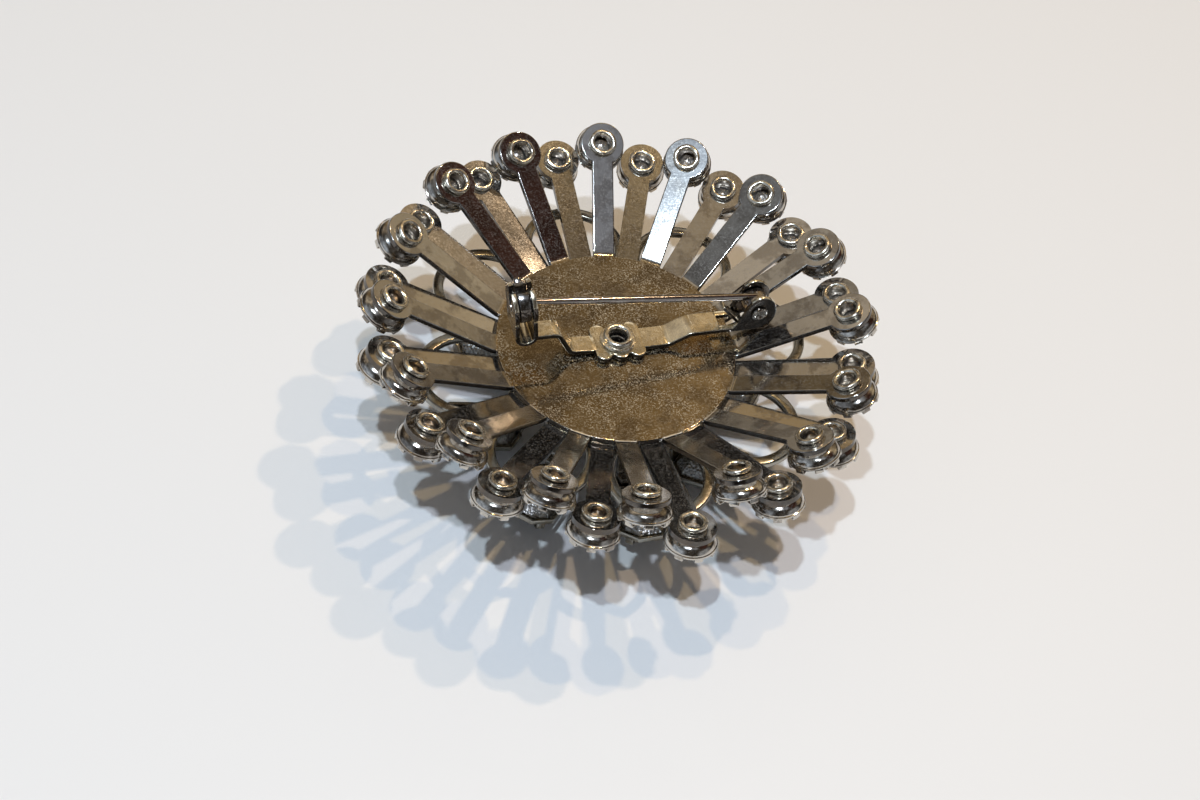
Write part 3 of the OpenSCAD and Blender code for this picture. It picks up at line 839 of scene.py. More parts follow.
def star_piece(context, name, row, disc_r, metals, node):
    """A star: its middle surface, given the sheet's thickness and worn edges by modifiers. Its metals are
    three pairs of a face and a cut edge, for the disc, the arms and the pads. The cut edges' near-black metal
    is painted shade, for the dark reflections on the sheet's sides."""
    star = context.scene.brooch_star
    sheet = star_sheet(row, disc_r, mm(star.arm_width), mm(star.pad_radius), mm(star.arm_run))
    piece = new_piece(name, sheet, metals, [node], even=False, sharp=60)
    pairs = [1, 2] * ARM_COUNT + [0]
    numbers = [np.full(len(block), 2 * pair) for block, pair in zip(sheet[1], pairs)]
    give_metals(piece, np.concatenate(numbers))
    solid = piece.modifiers.new("Sheet", "SOLIDIFY")
    solid.thickness = SHEET * MM
    solid.offset = 0
    solid.use_even_offset = True
    solid.material_offset_rim = 1
    bevel = piece.modifiers.new("Worn edge", "BEVEL")
    bevel.width = star.edge
    bevel.segments = 3
    bevel.limit_method = "ANGLE"
    bevel.angle_limit = math.radians(50)
    bevel.harden_normals = True


class BROOCH_OT_stars(bpy.types.Operator):
    """Makes the two stars, each a disc with sixteen raised arms and their round pads"""

    bl_idname = "brooch.stars"
    bl_label = "Make the stars"

    def execute(self, context):
        upper, lower = star_rows(context)
        # Every cut edge of the stars takes the near-black edge metal, which is painted shade.
        arms = ["star_plating", "edge_plating", "star_plating", "edge_plating"]
        star_piece(
            context, "back_star", upper, mm(context.scene.brooch_star.disc_radius),
            ["disc_plating", "edge_plating"] + arms, "back_plate",
        )
        star_piece(
            context, "middle_star", lower, ROOT_R + 0.05,
            ["star_plating", "edge_plating"] + arms, "middle_plate",
        )
        return {"FINISHED"}


# The cups and their claws


def claw(path, width, thick):
    """One claw: a slim rounded strip along a path of radius and height, which stands on the X axis."""
    return sweep(stand_up(path), (0, 1, 0), width, thick, edge=0.07)


def small_cup(rim, wire, claw_w, seed):
    """A cup under its pad, as a shell for its ring and one for the rest: the tube's rolled ring above, then
    the tube, a bowl that swells from the neck to a thin lip, and eight short square claws folded over the
    stone. The ring's radius swells by a few hundredths round it, and its top rises and falls by as little."""
    chance = np.random.default_rng(seed)
    shift = chance.uniform(0, 2 * np.pi, 4)
    size = chance.uniform(0.006, 0.022, 3)

    def uneven(angle):
        """What the ring's radius is multiplied by, at an angle round it."""
        return 1 + size[0] * np.sin(2 * angle + shift[0]) + size[1] * np.sin(5 * angle + shift[1])

    top = SHEET / 2 + GAP + wire
    ring_at = TUBE_HOLE_R + wire
    ring = lathe(arc((ring_at, top), wire, 180, -150, 14) + [(TUBE_HOLE_R, top - 0.28)], 48, wobble=uneven)
    around = np.arctan2(ring[0][:, 1], ring[0][:, 0])
    ripple = 0.012 * np.sin(3 * around + shift[2]) + 0.01 * np.sin(7 * around + shift[3])
    ring[0][:, 2] += np.where(ring[0][:, 2] > top, ripple, 0)
    neck_z = -SHEET / 2 - GAP
    tube = [(TUBE_HOLE_R, top - 0.1), (TUBE_R - 0.02, top - 0.1), (TUBE_R - 0.02, neck_z)]
    swell = [(1.5, neck_z), (1.74, neck_z - 0.02), (1.92, -0.62), (2.36, -0.98), (rim - 0.1, -1.4)]
    bowl = eased_path(swell + [(rim - 0.1, -1.56)], 0.3)
    lip = [(rim - 0.02, -1.6), (rim, -1.66), (rim, -1.76), (rim - 0.04, -1.84), (rim - 0.2, -1.86)]
    inside = [(rim - 0.335, -1.8), (rim - 0.345, -1.55), (TUBE_R, -0.78), (TUBE_HOLE_R, -0.76)]
    cup = lathe(np.concatenate([tube, bowl, lip, inside]), 48)
    hook = eased_path([(rim - 0.1, -1.72), (rim - 0.09, -2.22), (1.95, -2.12)], 0.16)
    claws = [place(claw(hook, claw_w, 0.17), turn_z(math.radians(45 * k))) for k in range(8)]
    return ring, join([cup] + claws)


def cup_piece(context, row):
    """The sixteen cups of one star, in one mesh. The rings, which come first, have the paler worn metal."""
    sizes = context.scene.brooch_settings
    seed = context.scene.brooch_stage.grain
    name = row.name + "_claw_cups"
    rings = []
    cups = []
    for number in range(1, ARM_COUNT + 1):
        matrix = pad_matrix(row, number, mm(context.scene.brooch_star.arm_run))
        ring, cup = small_cup(
            mm(sizes.rim_radius), mm(sizes.ring_wire), mm(sizes.claw_width), seed * 100 + number
        )
        rings.append(place(ring, matrix))
        cups.append(place(cup, matrix))
    ring_part = new_mesh(name + "_rings", join(rings))
    cup_part = new_mesh(name, join(cups))
    metals = ("ring_plating", "cup_plating")
    two_metals(name, ring_part, cup_part, metals, [row.name + "_cups"])


class BROOCH_OT_cups(bpy.types.Operator):
    """Makes the thirty-two small cups with their rolled rings and claws"""

    bl_idname = "brooch.cups"
    bl_label = "Make the cups"

    def execute(self, context):
        for row in star_rows(context):
            cup_piece(context, row)
        return {"FINISHED"}


# The stones


def brilliant(r, girdle, thick, table_r, crown, back):
    """A round stone, table down: eight star, eight kite and sixteen girdle facets in the crown, and as many
    behind round a tiny flat. A kite is flat when the height of its side points falls on the line from the
    table to the girdle at their distance along it."""
    eighth = np.radians(45)
    step = np.arange(8)

    def ring(radius, height, angle):
        """Points at some angles round Z."""
        level = np.full(len(angle), height)
        return np.stack([radius * np.cos(angle), radius * np.sin(angle), level], axis=-1)

    def fan(tip_r, tip_z, edge_z, mid_r):
        """The facets on one side of the girdle, from the flat at the tip out to the edge."""
        along = (mid_r * math.cos(eighth / 2) - tip_r) / (r - tip_r)
        mid_z = tip_z + (edge_z - tip_z) * along
        tip = ring(tip_r, tip_z, step * eighth)
        mid = ring(mid_r, mid_z, step * eighth + eighth / 2)
        rim = ring(r, edge_z, np.arange(16) * eighth / 2)
        points = np.concatenate([tip, mid, rim])
        nxt = (step + 1) % 8
        last = (step - 1) % 8
        rim_here = 16 + 2 * step
        rim_half = 16 + 2 * step + 1
        rim_next = 16 + (2 * step + 2) % 16
        stars = np.stack([step, nxt, 8 + step], axis=-1)
        kites = np.stack([step, 8 + step, rim_here, 8 + last], axis=-1)
        lower = np.stack([8 + step, rim_half, rim_here], axis=-1)
        upper = np.stack([8 + step, rim_next, rim_half], axis=-1)
        return points, [stars, kites, lower, upper, np.arange(8)[None]]

    front = fan(table_r, girdle - crown, girdle, 0.5 * (table_r + r) * 1.02)
    rear = fan(0.06 * r, girdle + thick + back, girdle + thick, 0.62 * r)
    around = np.arange(16) * eighth / 2
    belt = grid(np.array([ring(r, girdle, around), ring(r, girdle + thick, around)]), wrap_columns=True)
    return join([front, belt, rear])


def cut_corners(length, width, cut):
    """The eight corners of a rectangle with its corners cut, anticlockwise."""
    a, b = length / 2, width / 2
    return np.array([
        (a, cut - b), (a, b - cut), (a - cut, b), (cut - a, b),
        (-a, b - cut), (-a, cut - b), (cut - a, -b), (a - cut, -b),
    ])


def step_cut(length, width, layers):
    """A cut-corner stone of flat steps: each layer is a height, an inset and a corner cut."""
    rings = [
        np.column_stack([cut_corners(length - 2 * inset, width - 2 * inset, cut), np.full(8, height)])
        for height, inset, cut in layers
    ]
    shell = grid(np.array(rings), wrap_columns=True)
    return with_caps(shell, len(rings), 8)


def stone_piece(name, shell, backing, node, matrix, limit):
    """A stone of glass, with foil on every face whose middle lies past a limit along the stone's own axis."""
    placed = place(shell, matrix)
    piece = new_piece(name, placed, ["crystal_glass", backing], [node], smooth=False)
    depth = (face_values(piece, "center") / MM - np.array(matrix.translation)) @ np.array(matrix.col[2][:3])
    give_metals(piece, depth > limit)


# Steps of a petal's stone from its table to its back: height, inset and corner cut
PETAL_STEPS = (
    (-1.1, 1.35, 0.75), (-0.75, 0.7, 1.05), (-0.15, 0, 1.35), (0.01, 0, 1.35),
    (0.8, 0.75, 1.0), (1.45, 1.7, 0.6), (1.66, 2.45, 0.1),
)

# The centre stone: girdle and its height, radius of the table, heights of the crown and of the back
CENTRE_GIRDLE = 2.1
CENTRE_THICK = 0.25
CENTRE_TABLE = 3.3
CENTRE_CROWN = 2.1
CENTRE_BACK = 2.85

# How far past a girdle, or a petal's middle, the foil starts
FOIL_GAP = 0.01
PETAL_FOIL_AT = 0.1


def petal_turn(number):
    """Direction of a petal, in radians."""
    return math.radians(LOWER_PHASE - ARM_PITCH - 2 * ARM_PITCH * (number - 1))


def petal_matrix(number):
    """Frame at the girdle of a petal's stone, with X outwards and Z to the back."""
    lean = Matrix.Rotation(-PETAL_LEAN, 4, "Y")
    return turn_z(petal_turn(number)) @ Matrix.Translation((PETAL_AT, 0, PETAL_Z)) @ lean


class BROOCH_OT_stones(bpy.types.Operator):
    """Makes the thirty-two small crystals, the eight petal crystals and the centre stone"""

    bl_idname = "brooch.stones"
    bl_label = "Make the stones"

    def execute(self, context):
        run = mm(context.scene.brooch_star.arm_run)
        sizes = context.scene.brooch_settings
        r = mm(sizes.stone_radius)
        small = brilliant(r, GIRDLE, GIRDLE_THICK, 0.55 * r, 0.75, 1.05)
        foil_from = GIRDLE + GIRDLE_THICK + FOIL_GAP
        for row in star_rows(context):
            for number in range(1, ARM_COUNT + 1):
                name = f"{row.name}_crystal_{number:02d}"
                node = f"{row.name}_stone_{number:02d}"
                stone_piece(name, small, "crystal_foil", node, pad_matrix(row, number, run), foil_from)
        petal = step_cut(mm(sizes.petal_length), mm(sizes.petal_width), PETAL_STEPS)
        for number in range(1, PETAL_COUNT + 1):
            stone_piece(
                f"petal_crystal_{number}", petal, "petal_foil", f"petal_stone_{number}",
                petal_matrix(number), PETAL_FOIL_AT,
            )
        r = mm(sizes.centre_radius)
        centre = brilliant(r, CENTRE_GIRDLE, CENTRE_THICK, CENTRE_TABLE, CENTRE_CROWN, CENTRE_BACK)
        stone_piece(
            "centre_crystal", centre, "crystal_foil", "centre_stone", Matrix.Identity(4),
            CENTRE_GIRDLE + CENTRE_THICK + FOIL_GAP,
        )
        return {"FINISHED"}


# The layers between the stars and the front


class BROOCH_OT_loops(bpy.types.Operator):
    """Makes the layer of eight open loops"""

    bl_idname = "brooch.loops"
    bl_label = "Make the loops"

    def execute(self, context):
        sizes = context.scene.brooch_settings
        outer = mm(sizes.loop_radius)
        width = mm(sizes.loop_width)
        flat = circle(outer - width / 2)
        line = np.column_stack([flat, np.zeros(len(flat))])
        ring = sweep(line, (0, 0, 1), LOOP_THICK, width, edge=0.2, closed=True)
        shells = [
            place(ring, turn_z(petal_turn(number)) @ Matrix.Translation((LOOP_AT, 0, LOOP_MID)))
            for number in range(1, PETAL_COUNT + 1)
        ]
        hub = slab(circle(LOOP_AT - outer + width / 2), LOOP_THICK - 0.06, 0.15, hole=RIVET_R + GAP)
        shells.append(place(hub, Matrix.Translation((0, 0, LOOP_MID))))
        new_piece("open_loops", join(shells), ["dark_plating"], ["loop_plate"])
        return {"FINISHED"}


def petal_setting(length, width, claw_w):
    """The low rim round one petal stone, the post that carries it and a claw at each cut corner. The rim is a
    slab between two cut-corner outlines. A claw is a rounded strip that hooks over the stone."""
    rise = RIM_LOW + 0.2
    around = (length + 2 * RIM_WALL + 0.15, width + 2 * RIM_WALL + 0.15, PETAL_CUT + 0.28)
    outer = eased_path(cut_corners(*around), 0.25, closed=True)
    inner = eased_path(cut_corners(length + 0.15, width + 0.15, PETAL_CUT), 0.25, closed=True)
    rim = place(slab(outer, rise, 0.12, hole=inner, rings=1), Matrix.Translation((0, 0, rise / 2 - 0.2)))
    hook = eased_path([(RIM_WALL / 2, 0.3), (RIM_WALL / 2 + 0.02, -0.85), (-0.42, -0.93)], 0.25)
    corner_x = length / 2 + 0.07 - PETAL_CUT / 2
    corner_y = width / 2 + 0.07 - PETAL_CUT / 2
    post_at = -(length + 0.15 + RIM_WALL) / 2
    post_line = finer(stand_up([(post_at, -0.18), (post_at, RIM_TOP + 0.1)]), 0.4)
    post = sweep(post_line, (0, 1, 0), STRIP_WIDTH, RIM_WALL)
    shells = [rim, post]
    for sx in (-1, 1):
        for sy in (-1, 1):
            corner = Matrix.Translation((sx * corner_x, sy * corner_y, 0))
            shells.append(place(claw(hook, claw_w, 0.26), corner @ turn_z(math.atan2(sy, sx))))
    return join(shells)


class BROOCH_OT_claw_frame(bpy.types.Operator):
    """Makes the front frame: its hub, eight strips and the rims and claws of the petal stones"""

    bl_idname = "brooch.claw_frame"
    bl_label = "Make the claw frame"

    def execute(self, context):
        sizes = context.scene.brooch_settings
        setting = petal_setting(mm(sizes.petal_length), mm(sizes.petal_width), mm(sizes.claw_width))
        spine = RIM_TOP + 0.17
        along = np.array((math.cos(PETAL_LEAN), math.sin(PETAL_LEAN)))
        across = np.array((-along[1], along[0]))
        inner = np.array((PETAL_AT, PETAL_Z)) - STRIP_BACK * along + spine * across
        outer = inner + STRIP_OVER * along
        line = eased_path([(5.6, FRAME_MID), (7.6, FRAME_MID), inner, outer], 0.9)
        strip = sweep(finer(stand_up(line), 0.8), (0, 1, 0), STRIP_WIDTH, SHEET - 0.04, edge=0.1)
        shells = []
        for number in range(1, PETAL_COUNT + 1):
            shells.append(place(strip, turn_z(petal_turn(number))))
            shells.append(place(setting, petal_matrix(number)))
        hub = slab(circle(HUB_R), SHEET, 0.1, hole=RIVET_R + GAP)
        shells.append(place(hub, Matrix.Translation((0, 0, FRAME_MID))))
        new_piece("petal_frame", join(shells), ["dark_plating"], ["claw_frame"])
        return {"FINISHED"}


class BROOCH_OT_centre_cup(bpy.types.Operator):
    """Makes the centre stone's cup, whose tube passes all the plates and is rolled over on the bar"""

    bl_idname = "brooch.centre_cup"
    bl_label = "Make the centre cup"

    def execute(self, context):
        sizes = context.scene.brooch_settings
        rim = mm(sizes.centre_radius) + 0.45
        low = BAR_TOP + GAP
        bore = 0.95
        washer = [(bore + 0.12, low), (1.78, low), (1.84, low + 0.06), (1.84, low + 0.22)]
        washer += [(1.78, low + 0.3), (1.62, low + 0.34)]
        roll = arc((bore + 0.33, low + 0.55), 0.33, -20, 180, 12)
        steps_down = [(bore, low + 0.1), (bore + 0.1, low), (bore + 0.1, low - 0.5), (bore, low - 0.6)]
        steps_down += [(bore, low - 1.1), (bore + 0.1, low - 1.2)]
        collar = lathe(washer + roll + steps_down, 64)
        base = FRAME_MID - SHEET / 2 - GAP
        tube = [(RIVET_R, low), (RIVET_R, base), (2.3, base), (2.4, base - 0.1)]
        foot = [(2.4, base - 0.5), (2.3, base - 0.6), (1.75, base - 0.65), (1.62, base - 0.9)]
        foot += [(1.62, 6.7), (1.8, 6.4)]
        bowl = arc((2.2, 3.2), 1, 88, 6, 10)
        bowl = [(2.2 + (rim - 2.25) * (x - 2.2), 3.2 + 3.0 * (y - 3.2)) for x, y in bowl]
        edge = [(rim - 0.05, 1.9), (rim, 1.75), (rim - 0.06, 1.62), (rim - 0.3, 1.62)]
        inside = [(rim - 0.36, 1.8), (rim - 0.36, 3.1), (1.6, 5.9), (bore + 0.05, 6.0), (bore + 0.05, low)]
        cup = lathe(tube + foot + bowl + edge + inside, 72)
        hook = eased_path([(rim - 0.2, 2.1), (rim - 0.18, 1.25), (rim - 1.0, 1.12)], 0.3)
        claws = [place(claw(hook, 1.5, 0.32), turn_z(math.radians(45 * k))) for k in range(8)]
        two_metals(
            "centre_setting", new_mesh("collar", collar), new_mesh("centre_setting", join([cup] + claws)),
            ("ring_plating", "cup_plating"), ["centre_cup"],
        )
        return {"FINISHED"}


# The bar pin. This brings a round part or a flat leaf from Z onto the rivet's axis
UPRIGHT = Matrix.Rotation(math.radians(90), 4, "X")


def bar_matrix():
    """The bar's own frame in the brooch's."""
    return turn_z(BAR_TURN)


def hinge_matrix():
    """Frame at the middle of the hinge, with Y along its rivet."""
    return bar_matrix() @ Matrix.Translation(HINGE)


def stem_matrix(along):
    """Frame on the closed stem's line, that far from the hinge, with X towards the hinge."""
    lean = Matrix.Rotation(STEM_SLOPE, 4, "Y")
    return hinge_matrix() @ lean @ Matrix.Translation((-along, 0, STEM_LIFT))


def catch_matrix():
    """Frame at the middle of the catch, with X along its axis and Z away from the disc."""
    return stem_matrix(CATCH_AT) @ Matrix.Rotation(-CATCH_LEAN, 4, "Y")


def scalloped_plate():
    """The bar's middle: a rectangle whose long sides each carry three shallow round lobes."""
    lobe = 0.86
    outline = [(2.66, -1.5), (2.66, 1.5)]
    for x in (1.8, 0.0, -1.8):
        outline += arc((x, 1.49), lobe, 24, 156, 9)
    outline += [(-2.66, 1.5), (-2.66, -1.5)]
    for x in (-1.8, 0.0, 1.8):
        outline += arc((x, -1.49), lobe, 204, 336, 9)
    line = np.array(outline + outline[:1])
    return finer(line, 0.5)[:-1]


def bar_strip(corners, width, radius, side=0.0):
    """A stretch of the bar: a rounded strip along a path of distance and height, with eased folds, at a
    distance to one side of the bar's middle."""
    line = finer(eased_path(corners, radius, steps=6), 0.7)
    return sweep(stand_up(line, side), (0, 1, 0), width, BAR_THICK - 0.03, edge=0.11)


EAR_CORNERS = (
    (-2.75, -2.58), (-2.05, -1.5), (-1.7, -0.5), (-1.4, 0.6), (-1.0, 1.75), (-0.2, 2.26), (0.8, 2.0),
    (1.6, 1.15), (2.0, 0.0), (1.94, -1.1), (1.42, -2.58),
)


def ear(side):
    """One hinge ear: a leaf round the rivet, with its hole."""
    outline = finer(eased_path(EAR_CORNERS[::-1], 0.42, steps=4, closed=True), 0.4)
    plate = slab(outline, EAR_THICK - 0.04, 0.11, hole=0.55, rings=4)
    return place(plate, Matrix.Translation((HINGE[0], side * (EAR_AT + EAR_THICK / 2), HINGE[2])) @ UPRIGHT)


def catch_shell():
    """The catch: two round plates, each a slotted ring, on a strip folded under them in a U."""
    mid = CATCH_HALF - CATCH_WALL / 2
    plate = c_ring(CATCH_BORE, CATCH_R, CATCH_MOUTH, CATCH_WALL / 2, 0.09)
    plates = [place(plate, Matrix.Translation((x, 0, 0))) for x in (-mid, mid)]
    curve = arc((0, CATCH_FOLD), mid, 0, -180, 14)
    line = finer(stand_up([(mid, -1.3)] + curve + [(-mid, -1.3)]), 0.5)
    fold = sweep(line, (0, 1, 0), 3.8, CATCH_WALL - 0.03, edge=0.12)
    return join(plates + [fold])


class BROOCH_OT_bar(bpy.types.Operator):
    """Makes the pin bar with its scalloped middle, folded shelves, stop, hinge ears and catch"""

    bl_idname = "brooch.bar"
    bl_label = "Make the bar"

    def execute(self, context):
        bar = context.scene.brooch_bar
        plate = slab(scalloped_plate(), BAR_THICK, 0.13, hole=RIVET_R + GAP, rings=4)
        middle = place(plate, Matrix.Translation((0, 0, BAR_MID)))
        left = bar_strip(
            [(-1.8, BAR_MID), (-2.4, BAR_MID), (-5.26, BAR_MID + 0.25), (-6.95, LEFT_MID), (-10.6, LEFT_MID)],
            mm(bar.left_width), 0.55,
        )
        width = mm(bar.right_width)
        shelf = [(2.2, BAR_MID), (5.28, BAR_MID), (7.47, RIGHT_MID), (TONGUE_TIP, RIGHT_MID)]
        right = bar_strip(shelf, width, 0.4)
        beside = (width - TONGUE_WIDTH - 0.2) / 2
        strap = [(TONGUE_TIP - 0.3, RIGHT_MID), (13.2, RIGHT_MID)]
        straps = [bar_strip(strap, beside, 0.4, side * (width - beside) / 2) for side in (-1, 1)]
        end = bar_strip([(TONGUE_ROOT - 0.1, RIGHT_MID), (13.4, RIGHT_MID)], width, 0.4)
        tongue_line = finer(stand_up([(TONGUE_ROOT, RIGHT_MID), (TONGUE_TIP, RIGHT_MID + TONGUE_RISE)]), 0.5)
        tongue = sweep(tongue_line, (0, 1, 0), TONGUE_WIDTH, 0.36, edge=0.08)
        parts = (middle, left, right, *straps, end, tongue, ear(-1), ear(1))
        shells = [place(part, bar_matrix()) for part in parts]
        shells.append(place(catch_shell(), catch_matrix()))
        metals = ["bar_plating", "edge_plating"]
        piece = new_piece("folded_bar", join(shells), metals, ["pin_bar"])
        # Upright faces, the hinge ears and catch plates too, take the near-black edge metal: painted shade.
        give_metals(piece, np.abs(face_values(piece, "normal")[:, 2]) < STEEP)
        return {"FINISHED"}


class BROOCH_OT_catch_drum(bpy.types.Operator):
    """Makes the catch's turning drum, its bosses and its thumb tab"""

    bl_idname = "brooch.catch_drum"
    bl_label = "Make the catch's drum"

    def execute(self, context):
        bar = context.scene.brooch_bar
        half = CATCH_HALF - CATCH_WALL - 0.12
        drum = c_ring(0.66, mm(bar.drum_radius), CATCH_SLOT, half, 0.12, steps=56)
        boss = c_ring(0.662, 1.15, CATCH_SLOT + 0.002, CATCH_HALF, 0.06, steps=40)
        lean = Matrix.Rotation(math.radians(-60), 4, "X")
        tab = sweep(finer(stand_up([(0, 1.5), (0, 2.45)]), 0.2), (1, 0, 0), 0.78, 1.06, edge=0.2)
        shells = [place(shell, catch_matrix()) for shell in (drum, boss)]
        shells.append(place(tab, catch_matrix() @ lean))
        # The drum's dark metal is painted shade of its recess between the catch's plates.
        new_piece("catch_drum", join(shells), ["drum_plating"], ["catch_roller"], body="roller")
        return {"FINISHED"}


class BROOCH_OT_stem(bpy.types.Operator):
    """Makes the pin stem with its rolled barrel"""

    bl_idname = "brooch.stem"
    bl_label = "Make the stem"

    def execute(self, context):
        r = mm(context.scene.brooch_bar.stem_radius)
        tip = CATCH_AT + CATCH_HALF - 0.3
        slender = CATCH_AT - CATCH_HALF - 0.2
        profile = [(0, -0.1), (r, -0.1), (r + 0.05, 0.1), (r, 4.4), (r, 20), (0.27, slender)]
        profile += [(0.25, tip - 0.9), (0.16, tip - 0.35), (0.06, tip - 0.03), (0, tip)]
        along = Matrix.Rotation(math.radians(-90), 4, "Y")
        wire = place(lathe(profile, 24, closed=False), stem_matrix(0) @ along)
        half = 0.85
        roll = [(0.56, -half), (1.3, -half), (1.38, -half + 0.04), (1.4, -half + 0.12), (1.4, half - 0.12)]
        roll += [(1.38, half - 0.04), (1.3, half), (0.56, half)]
        barrel = place(lathe(roll, 48), hinge_matrix() @ UPRIGHT)
        whole = join([wire, barrel])
        new_piece("round_stem", whole, ["stem_plating"], ["pin_stem"], body="stem")
        return {"FINISHED"}


class BROOCH_OT_rivet(bpy.types.Operator):
    """Makes the hinge rivet with its dimpled heads"""

    bl_idname = "brooch.rivet"
    bl_label = "Make the hinge rivet"

    def execute(self, context):
        seat = EAR_AT + EAR_THICK + GAP
        head = [(0, seat - 0.4), (0.5, seat - 0.4), (0.5, seat), (0.76, seat), (0.85, seat + 0.08)]
        head += [(0.83, seat + 0.2)] + arc((0.62, seat + 0.12), 0.18, 40, 140, 5)
        head += [(0.38, seat + 0.12), (0.14, seat + 0.1), (0.1, seat + 0.16), (0, seat + 0.17)]
        end = lathe(head, 32, closed=False)
        turns = [Matrix.Rotation(math.radians(side), 4, "X") for side in (90, 270)]
        shells = [place(end, hinge_matrix() @ turn) for turn in turns]
        shaft = lathe([(0, -seat), (0.48, -seat), (0.48, seat), (0, seat)], 24, closed=False)
        shells.append(place(shaft, hinge_matrix() @ UPRIGHT))
        new_piece("dimpled_rivet", join(shells), ["cup_plating"], ["hinge_rivet"])
        return {"FINISHED"}


# The stage: its lamps, two warm ones behind the brooch and two cool ones before it, as name, direction,
# colour and power
LAMPS = (
    ("far_warm_lamp", (0.364, 0.351, 0.863), (1.0, 0.744, 0.487), 0.74),
    ("high_warm_lamp", (0.11, 0.315, 0.943), (1.0, 0.713, 0.337), 0.48),
    ("near_cool_lamp", (-0.061, -0.341, 0.938), (0.777, 0.858, 1.0), 1.36),
    ("left_cool_lamp", (-0.197, -0.282, 0.939), (0.726, 0.876, 1.0), 1.48),
)
LAMP_DISTANCE = 0.6
LAMP_AIM = (0, 0, 0.01)
FLOOR_HALF = 1.2


def add_lamp(name, towards, colour, power, size):
    """A round area lamp that shines at the brooch from a direction."""
    data = bpy.data.lights.new(name, "AREA")
    data.shape = "DISK"
    data.size = size
    data.energy = power
    data.color = colour
    lamp = bpy.data.objects.new(name, data)
    bpy.context.scene.collection.objects.link(lamp)
    way = Vector(towards).normalized()
    lamp.location = Vector(LAMP_AIM) + way * LAMP_DISTANCE
    lamp.rotation_mode = "QUATERNION"
    lamp.rotation_quaternion = (-way).to_track_quat("-Z", "Y")


def floor_material(colour):
    """Matt card, a little uneven in tone."""
    material, tree, shader = new_material("pale_card")
    spot = link(tree, "ShaderNodeTexCoord").outputs["Object"]
    tint = mix(tree, noise(tree, spot, 9.0, 3.0), (*colour, 1), (*[c * 0.985 for c in colour], 1))
    tree.links.new(tint, shader.inputs["Base Color"])
    shader.inputs["Roughness"].default_value = 0.55
    return material


# The room that the metal mirrors: its dark, and patches of a direction, the angles where it is full and gone,
# and a colour
ROOM_DARK = (0.05, 0.043, 0.036, 1)
ROOM = (
    ((0.1, 0.7, 0.7), 10, 55, (0.29, 0.205, 0.105)),
    ((-0.45, 0.35, 0.82), 5, 32, (0.42, 0.36, 0.28)),
    ((0.72, 0.46, 0.51), 5, 26, (0.5, 0.4, 0.26)),
    ((0.0, 1.0, 0.0), 6, 34, (0.2, 0.17, 0.13)),
    ((0.1, 0.78, 0.62), 3, 7, (2.4, 2.2, 1.9)),
    ((0.1, 0.93, 0.36), 11, 19, (0.008, 0.007, 0.006)),
    ((0.6, 0.06, 0.79), 8, 26, (0.05, 0.02, 0.014)),
    ((0.2, -0.26, 0.94), 5, 15, (0.26, 0.27, 0.3)),
    ((-0.45, -0.1, 0.88), 6, 26, (0.12, 0.12, 0.12)),
    ((-0.18, -0.33, 0.93), 2, 13, (0.7, 0.85, 1.1)),
    ((-0.85, -0.45, 0.2), 18, 46, (0.4, 0.46, 0.55)),
    ((0.85, -0.5, 0.15), 14, 36, (0.3, 0.31, 0.33)),
)


def room_light(strength):
    """The dark room overhead with soft patches of wall, lamp shade and window, and slow blotches over all."""
    world = bpy.data.worlds.new("Room")
    world.use_nodes = True
    tree = world.node_tree
    back = tree.nodes["Background"]
    way = link(tree, "ShaderNodeTexCoord").outputs["Generated"]
    colour = ROOM_DARK
    for towards, full, gone, patch in ROOM:
        aim = Vector(towards).normalized()
        near = link(tree, "ShaderNodeVectorMath", {"operation": "DOT_PRODUCT"}, n0=way, n1=aim)
        limits = (math.cos(math.radians(gone)), math.cos(math.radians(full)))
        share = ease(tree, near.outputs["Value"], *limits)
        colour = mix(tree, share, colour, (*patch, 1))
    spots = ease(tree, noise(tree, way, 4.0, 3.0, 0.6), 0.36, 0.64, 0.6, 1.4)
    tree.links.new(mix(tree, 1.0, colour, spots, "MULTIPLY"), back.inputs["Color"])
    back.inputs["Strength"].default_value = strength
    bpy.context.scene.world = world


# The photograph's view: the camera's place above the centre stone's table, and its right, up and forward ways
CAMERA_AT = (-22.5, -122.73, 154.91)
CAMERA_RIGHT = (0.98944, 0.0, 0.14492)
CAMERA_UP = (-0.09077, 0.77954, 0.61974)
CAMERA_AHEAD = (0.11297, 0.62635, -0.77131)
CAMERA_LENS = 54.973


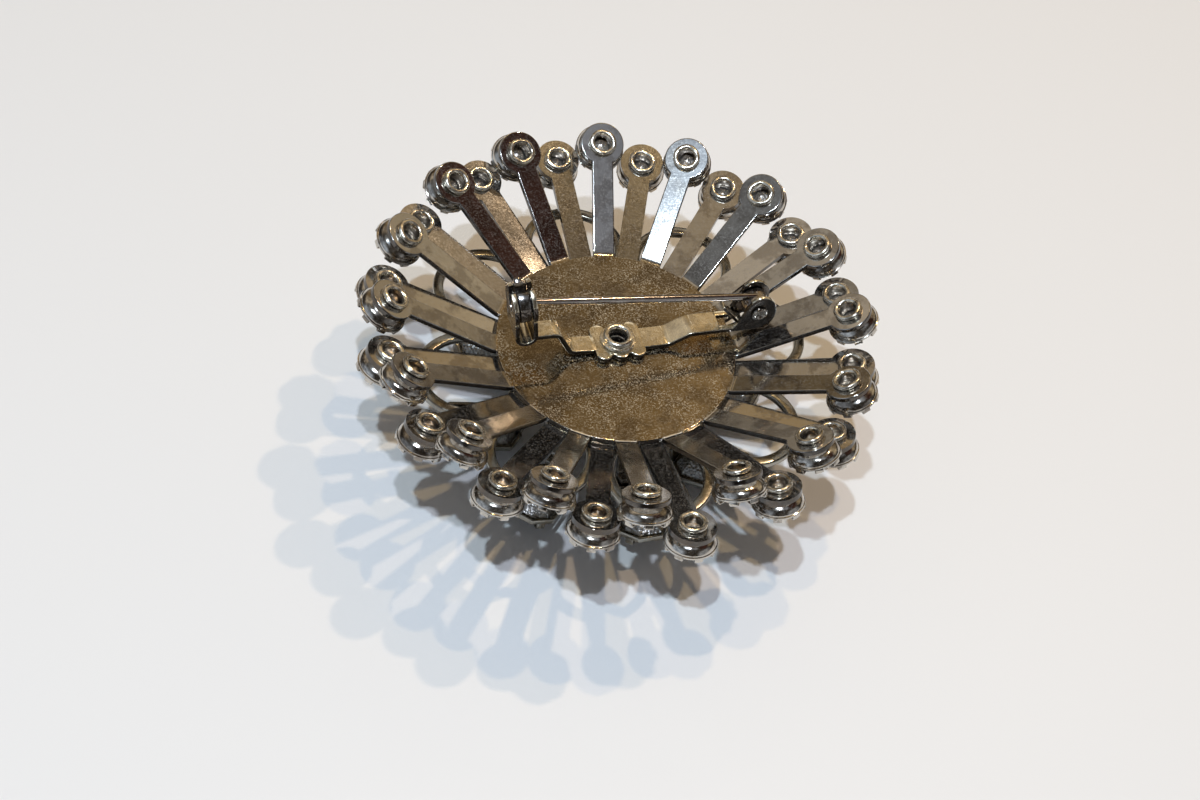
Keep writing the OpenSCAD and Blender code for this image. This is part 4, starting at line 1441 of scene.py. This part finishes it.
class BROOCH_OT_stage(bpy.types.Operator):
    """Makes the floor, the four lamps, the room and the camera"""

    bl_idname = "brooch.stage"
    bl_label = "Make the stage"

    def execute(self, context):
        stage = context.scene.brooch_stage
        mesh = bpy.data.meshes.new("floor")
        low = CAD_BOX[0].z
        square = ((-1, -1), (1, -1), (1, 1), (-1, 1))
        mesh.from_pydata([(x * FLOOR_HALF, y * FLOOR_HALF, low) for x, y in square], [], [(0, 1, 2, 3)])
        mesh.materials.append(floor_material(tuple(stage.floor)))
        floor = bpy.data.objects.new("floor", mesh)
        context.scene.collection.objects.link(floor)
        for name, towards, colour, power in LAMPS:
            add_lamp(name, towards, colour, power * stage.lamps, stage.lamp_size)
        room_light(stage.room)
        camera = bpy.data.objects.new("camera", bpy.data.cameras.new("camera"))
        camera.data.lens = CAMERA_LENS
        camera.data.sensor_width = 36
        camera.data.clip_start = 0.005
        context.scene.collection.objects.link(camera)
        axes = Matrix((CAMERA_RIGHT, CAMERA_UP, -Vector(CAMERA_AHEAD))).transposed()
        camera.matrix_world = Matrix.Translation(Vector(CAMERA_AT) * MM) @ axes.to_4x4()
        context.scene.camera = camera
        context.scene.view_settings.view_transform = "Standard"
        return {"FINISHED"}


# Registration and the run


class BROOCH_PT_panel(bpy.types.Panel):
    """The brooch's pieces and its stage"""

    bl_label = "Crystal brooch"
    bl_idname = "BROOCH_PT_panel"
    bl_space_type = "VIEW_3D"
    bl_region_type = "UI"
    bl_category = "Brooch"

    def draw(self, context):
        for step in STEPS:
            self.layout.operator(f"brooch.{step}")


SETTINGS = {
    "brooch_star": StarSettings,
    "brooch_settings": SettingSettings,
    "brooch_bar": BarSettings,
    "brooch_finish": FinishSettings,
    "brooch_stage": StageSettings,
}
OPERATORS = (
    BROOCH_OT_finishes,
    BROOCH_OT_stars,
    BROOCH_OT_cups,
    BROOCH_OT_stones,
    BROOCH_OT_loops,
    BROOCH_OT_claw_frame,
    BROOCH_OT_centre_cup,
    BROOCH_OT_bar,
    BROOCH_OT_catch_drum,
    BROOCH_OT_stem,
    BROOCH_OT_rivet,
    BROOCH_OT_stage,
)
STEPS = tuple(operator.bl_idname.split(".")[1] for operator in OPERATORS)


def register():
    """Registers the settings, the operators and the panel."""
    for name, settings in SETTINGS.items():
        bpy.utils.register_class(settings)
        setattr(bpy.types.Scene, name, PointerProperty(type=settings))
    for operator in OPERATORS:
        bpy.utils.register_class(operator)
    bpy.utils.register_class(BROOCH_PT_panel)


def unregister():
    """Takes them away again."""
    bpy.utils.unregister_class(BROOCH_PT_panel)
    for operator in reversed(OPERATORS):
        bpy.utils.unregister_class(operator)
    for name, settings in SETTINGS.items():
        delattr(bpy.types.Scene, name)
        bpy.utils.unregister_class(settings)


def main():
    """Registers the add-on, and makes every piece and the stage."""
    register()
    for step in STEPS:
        getattr(bpy.ops.brooch, step)()


if __name__ == "__main__":
    main()
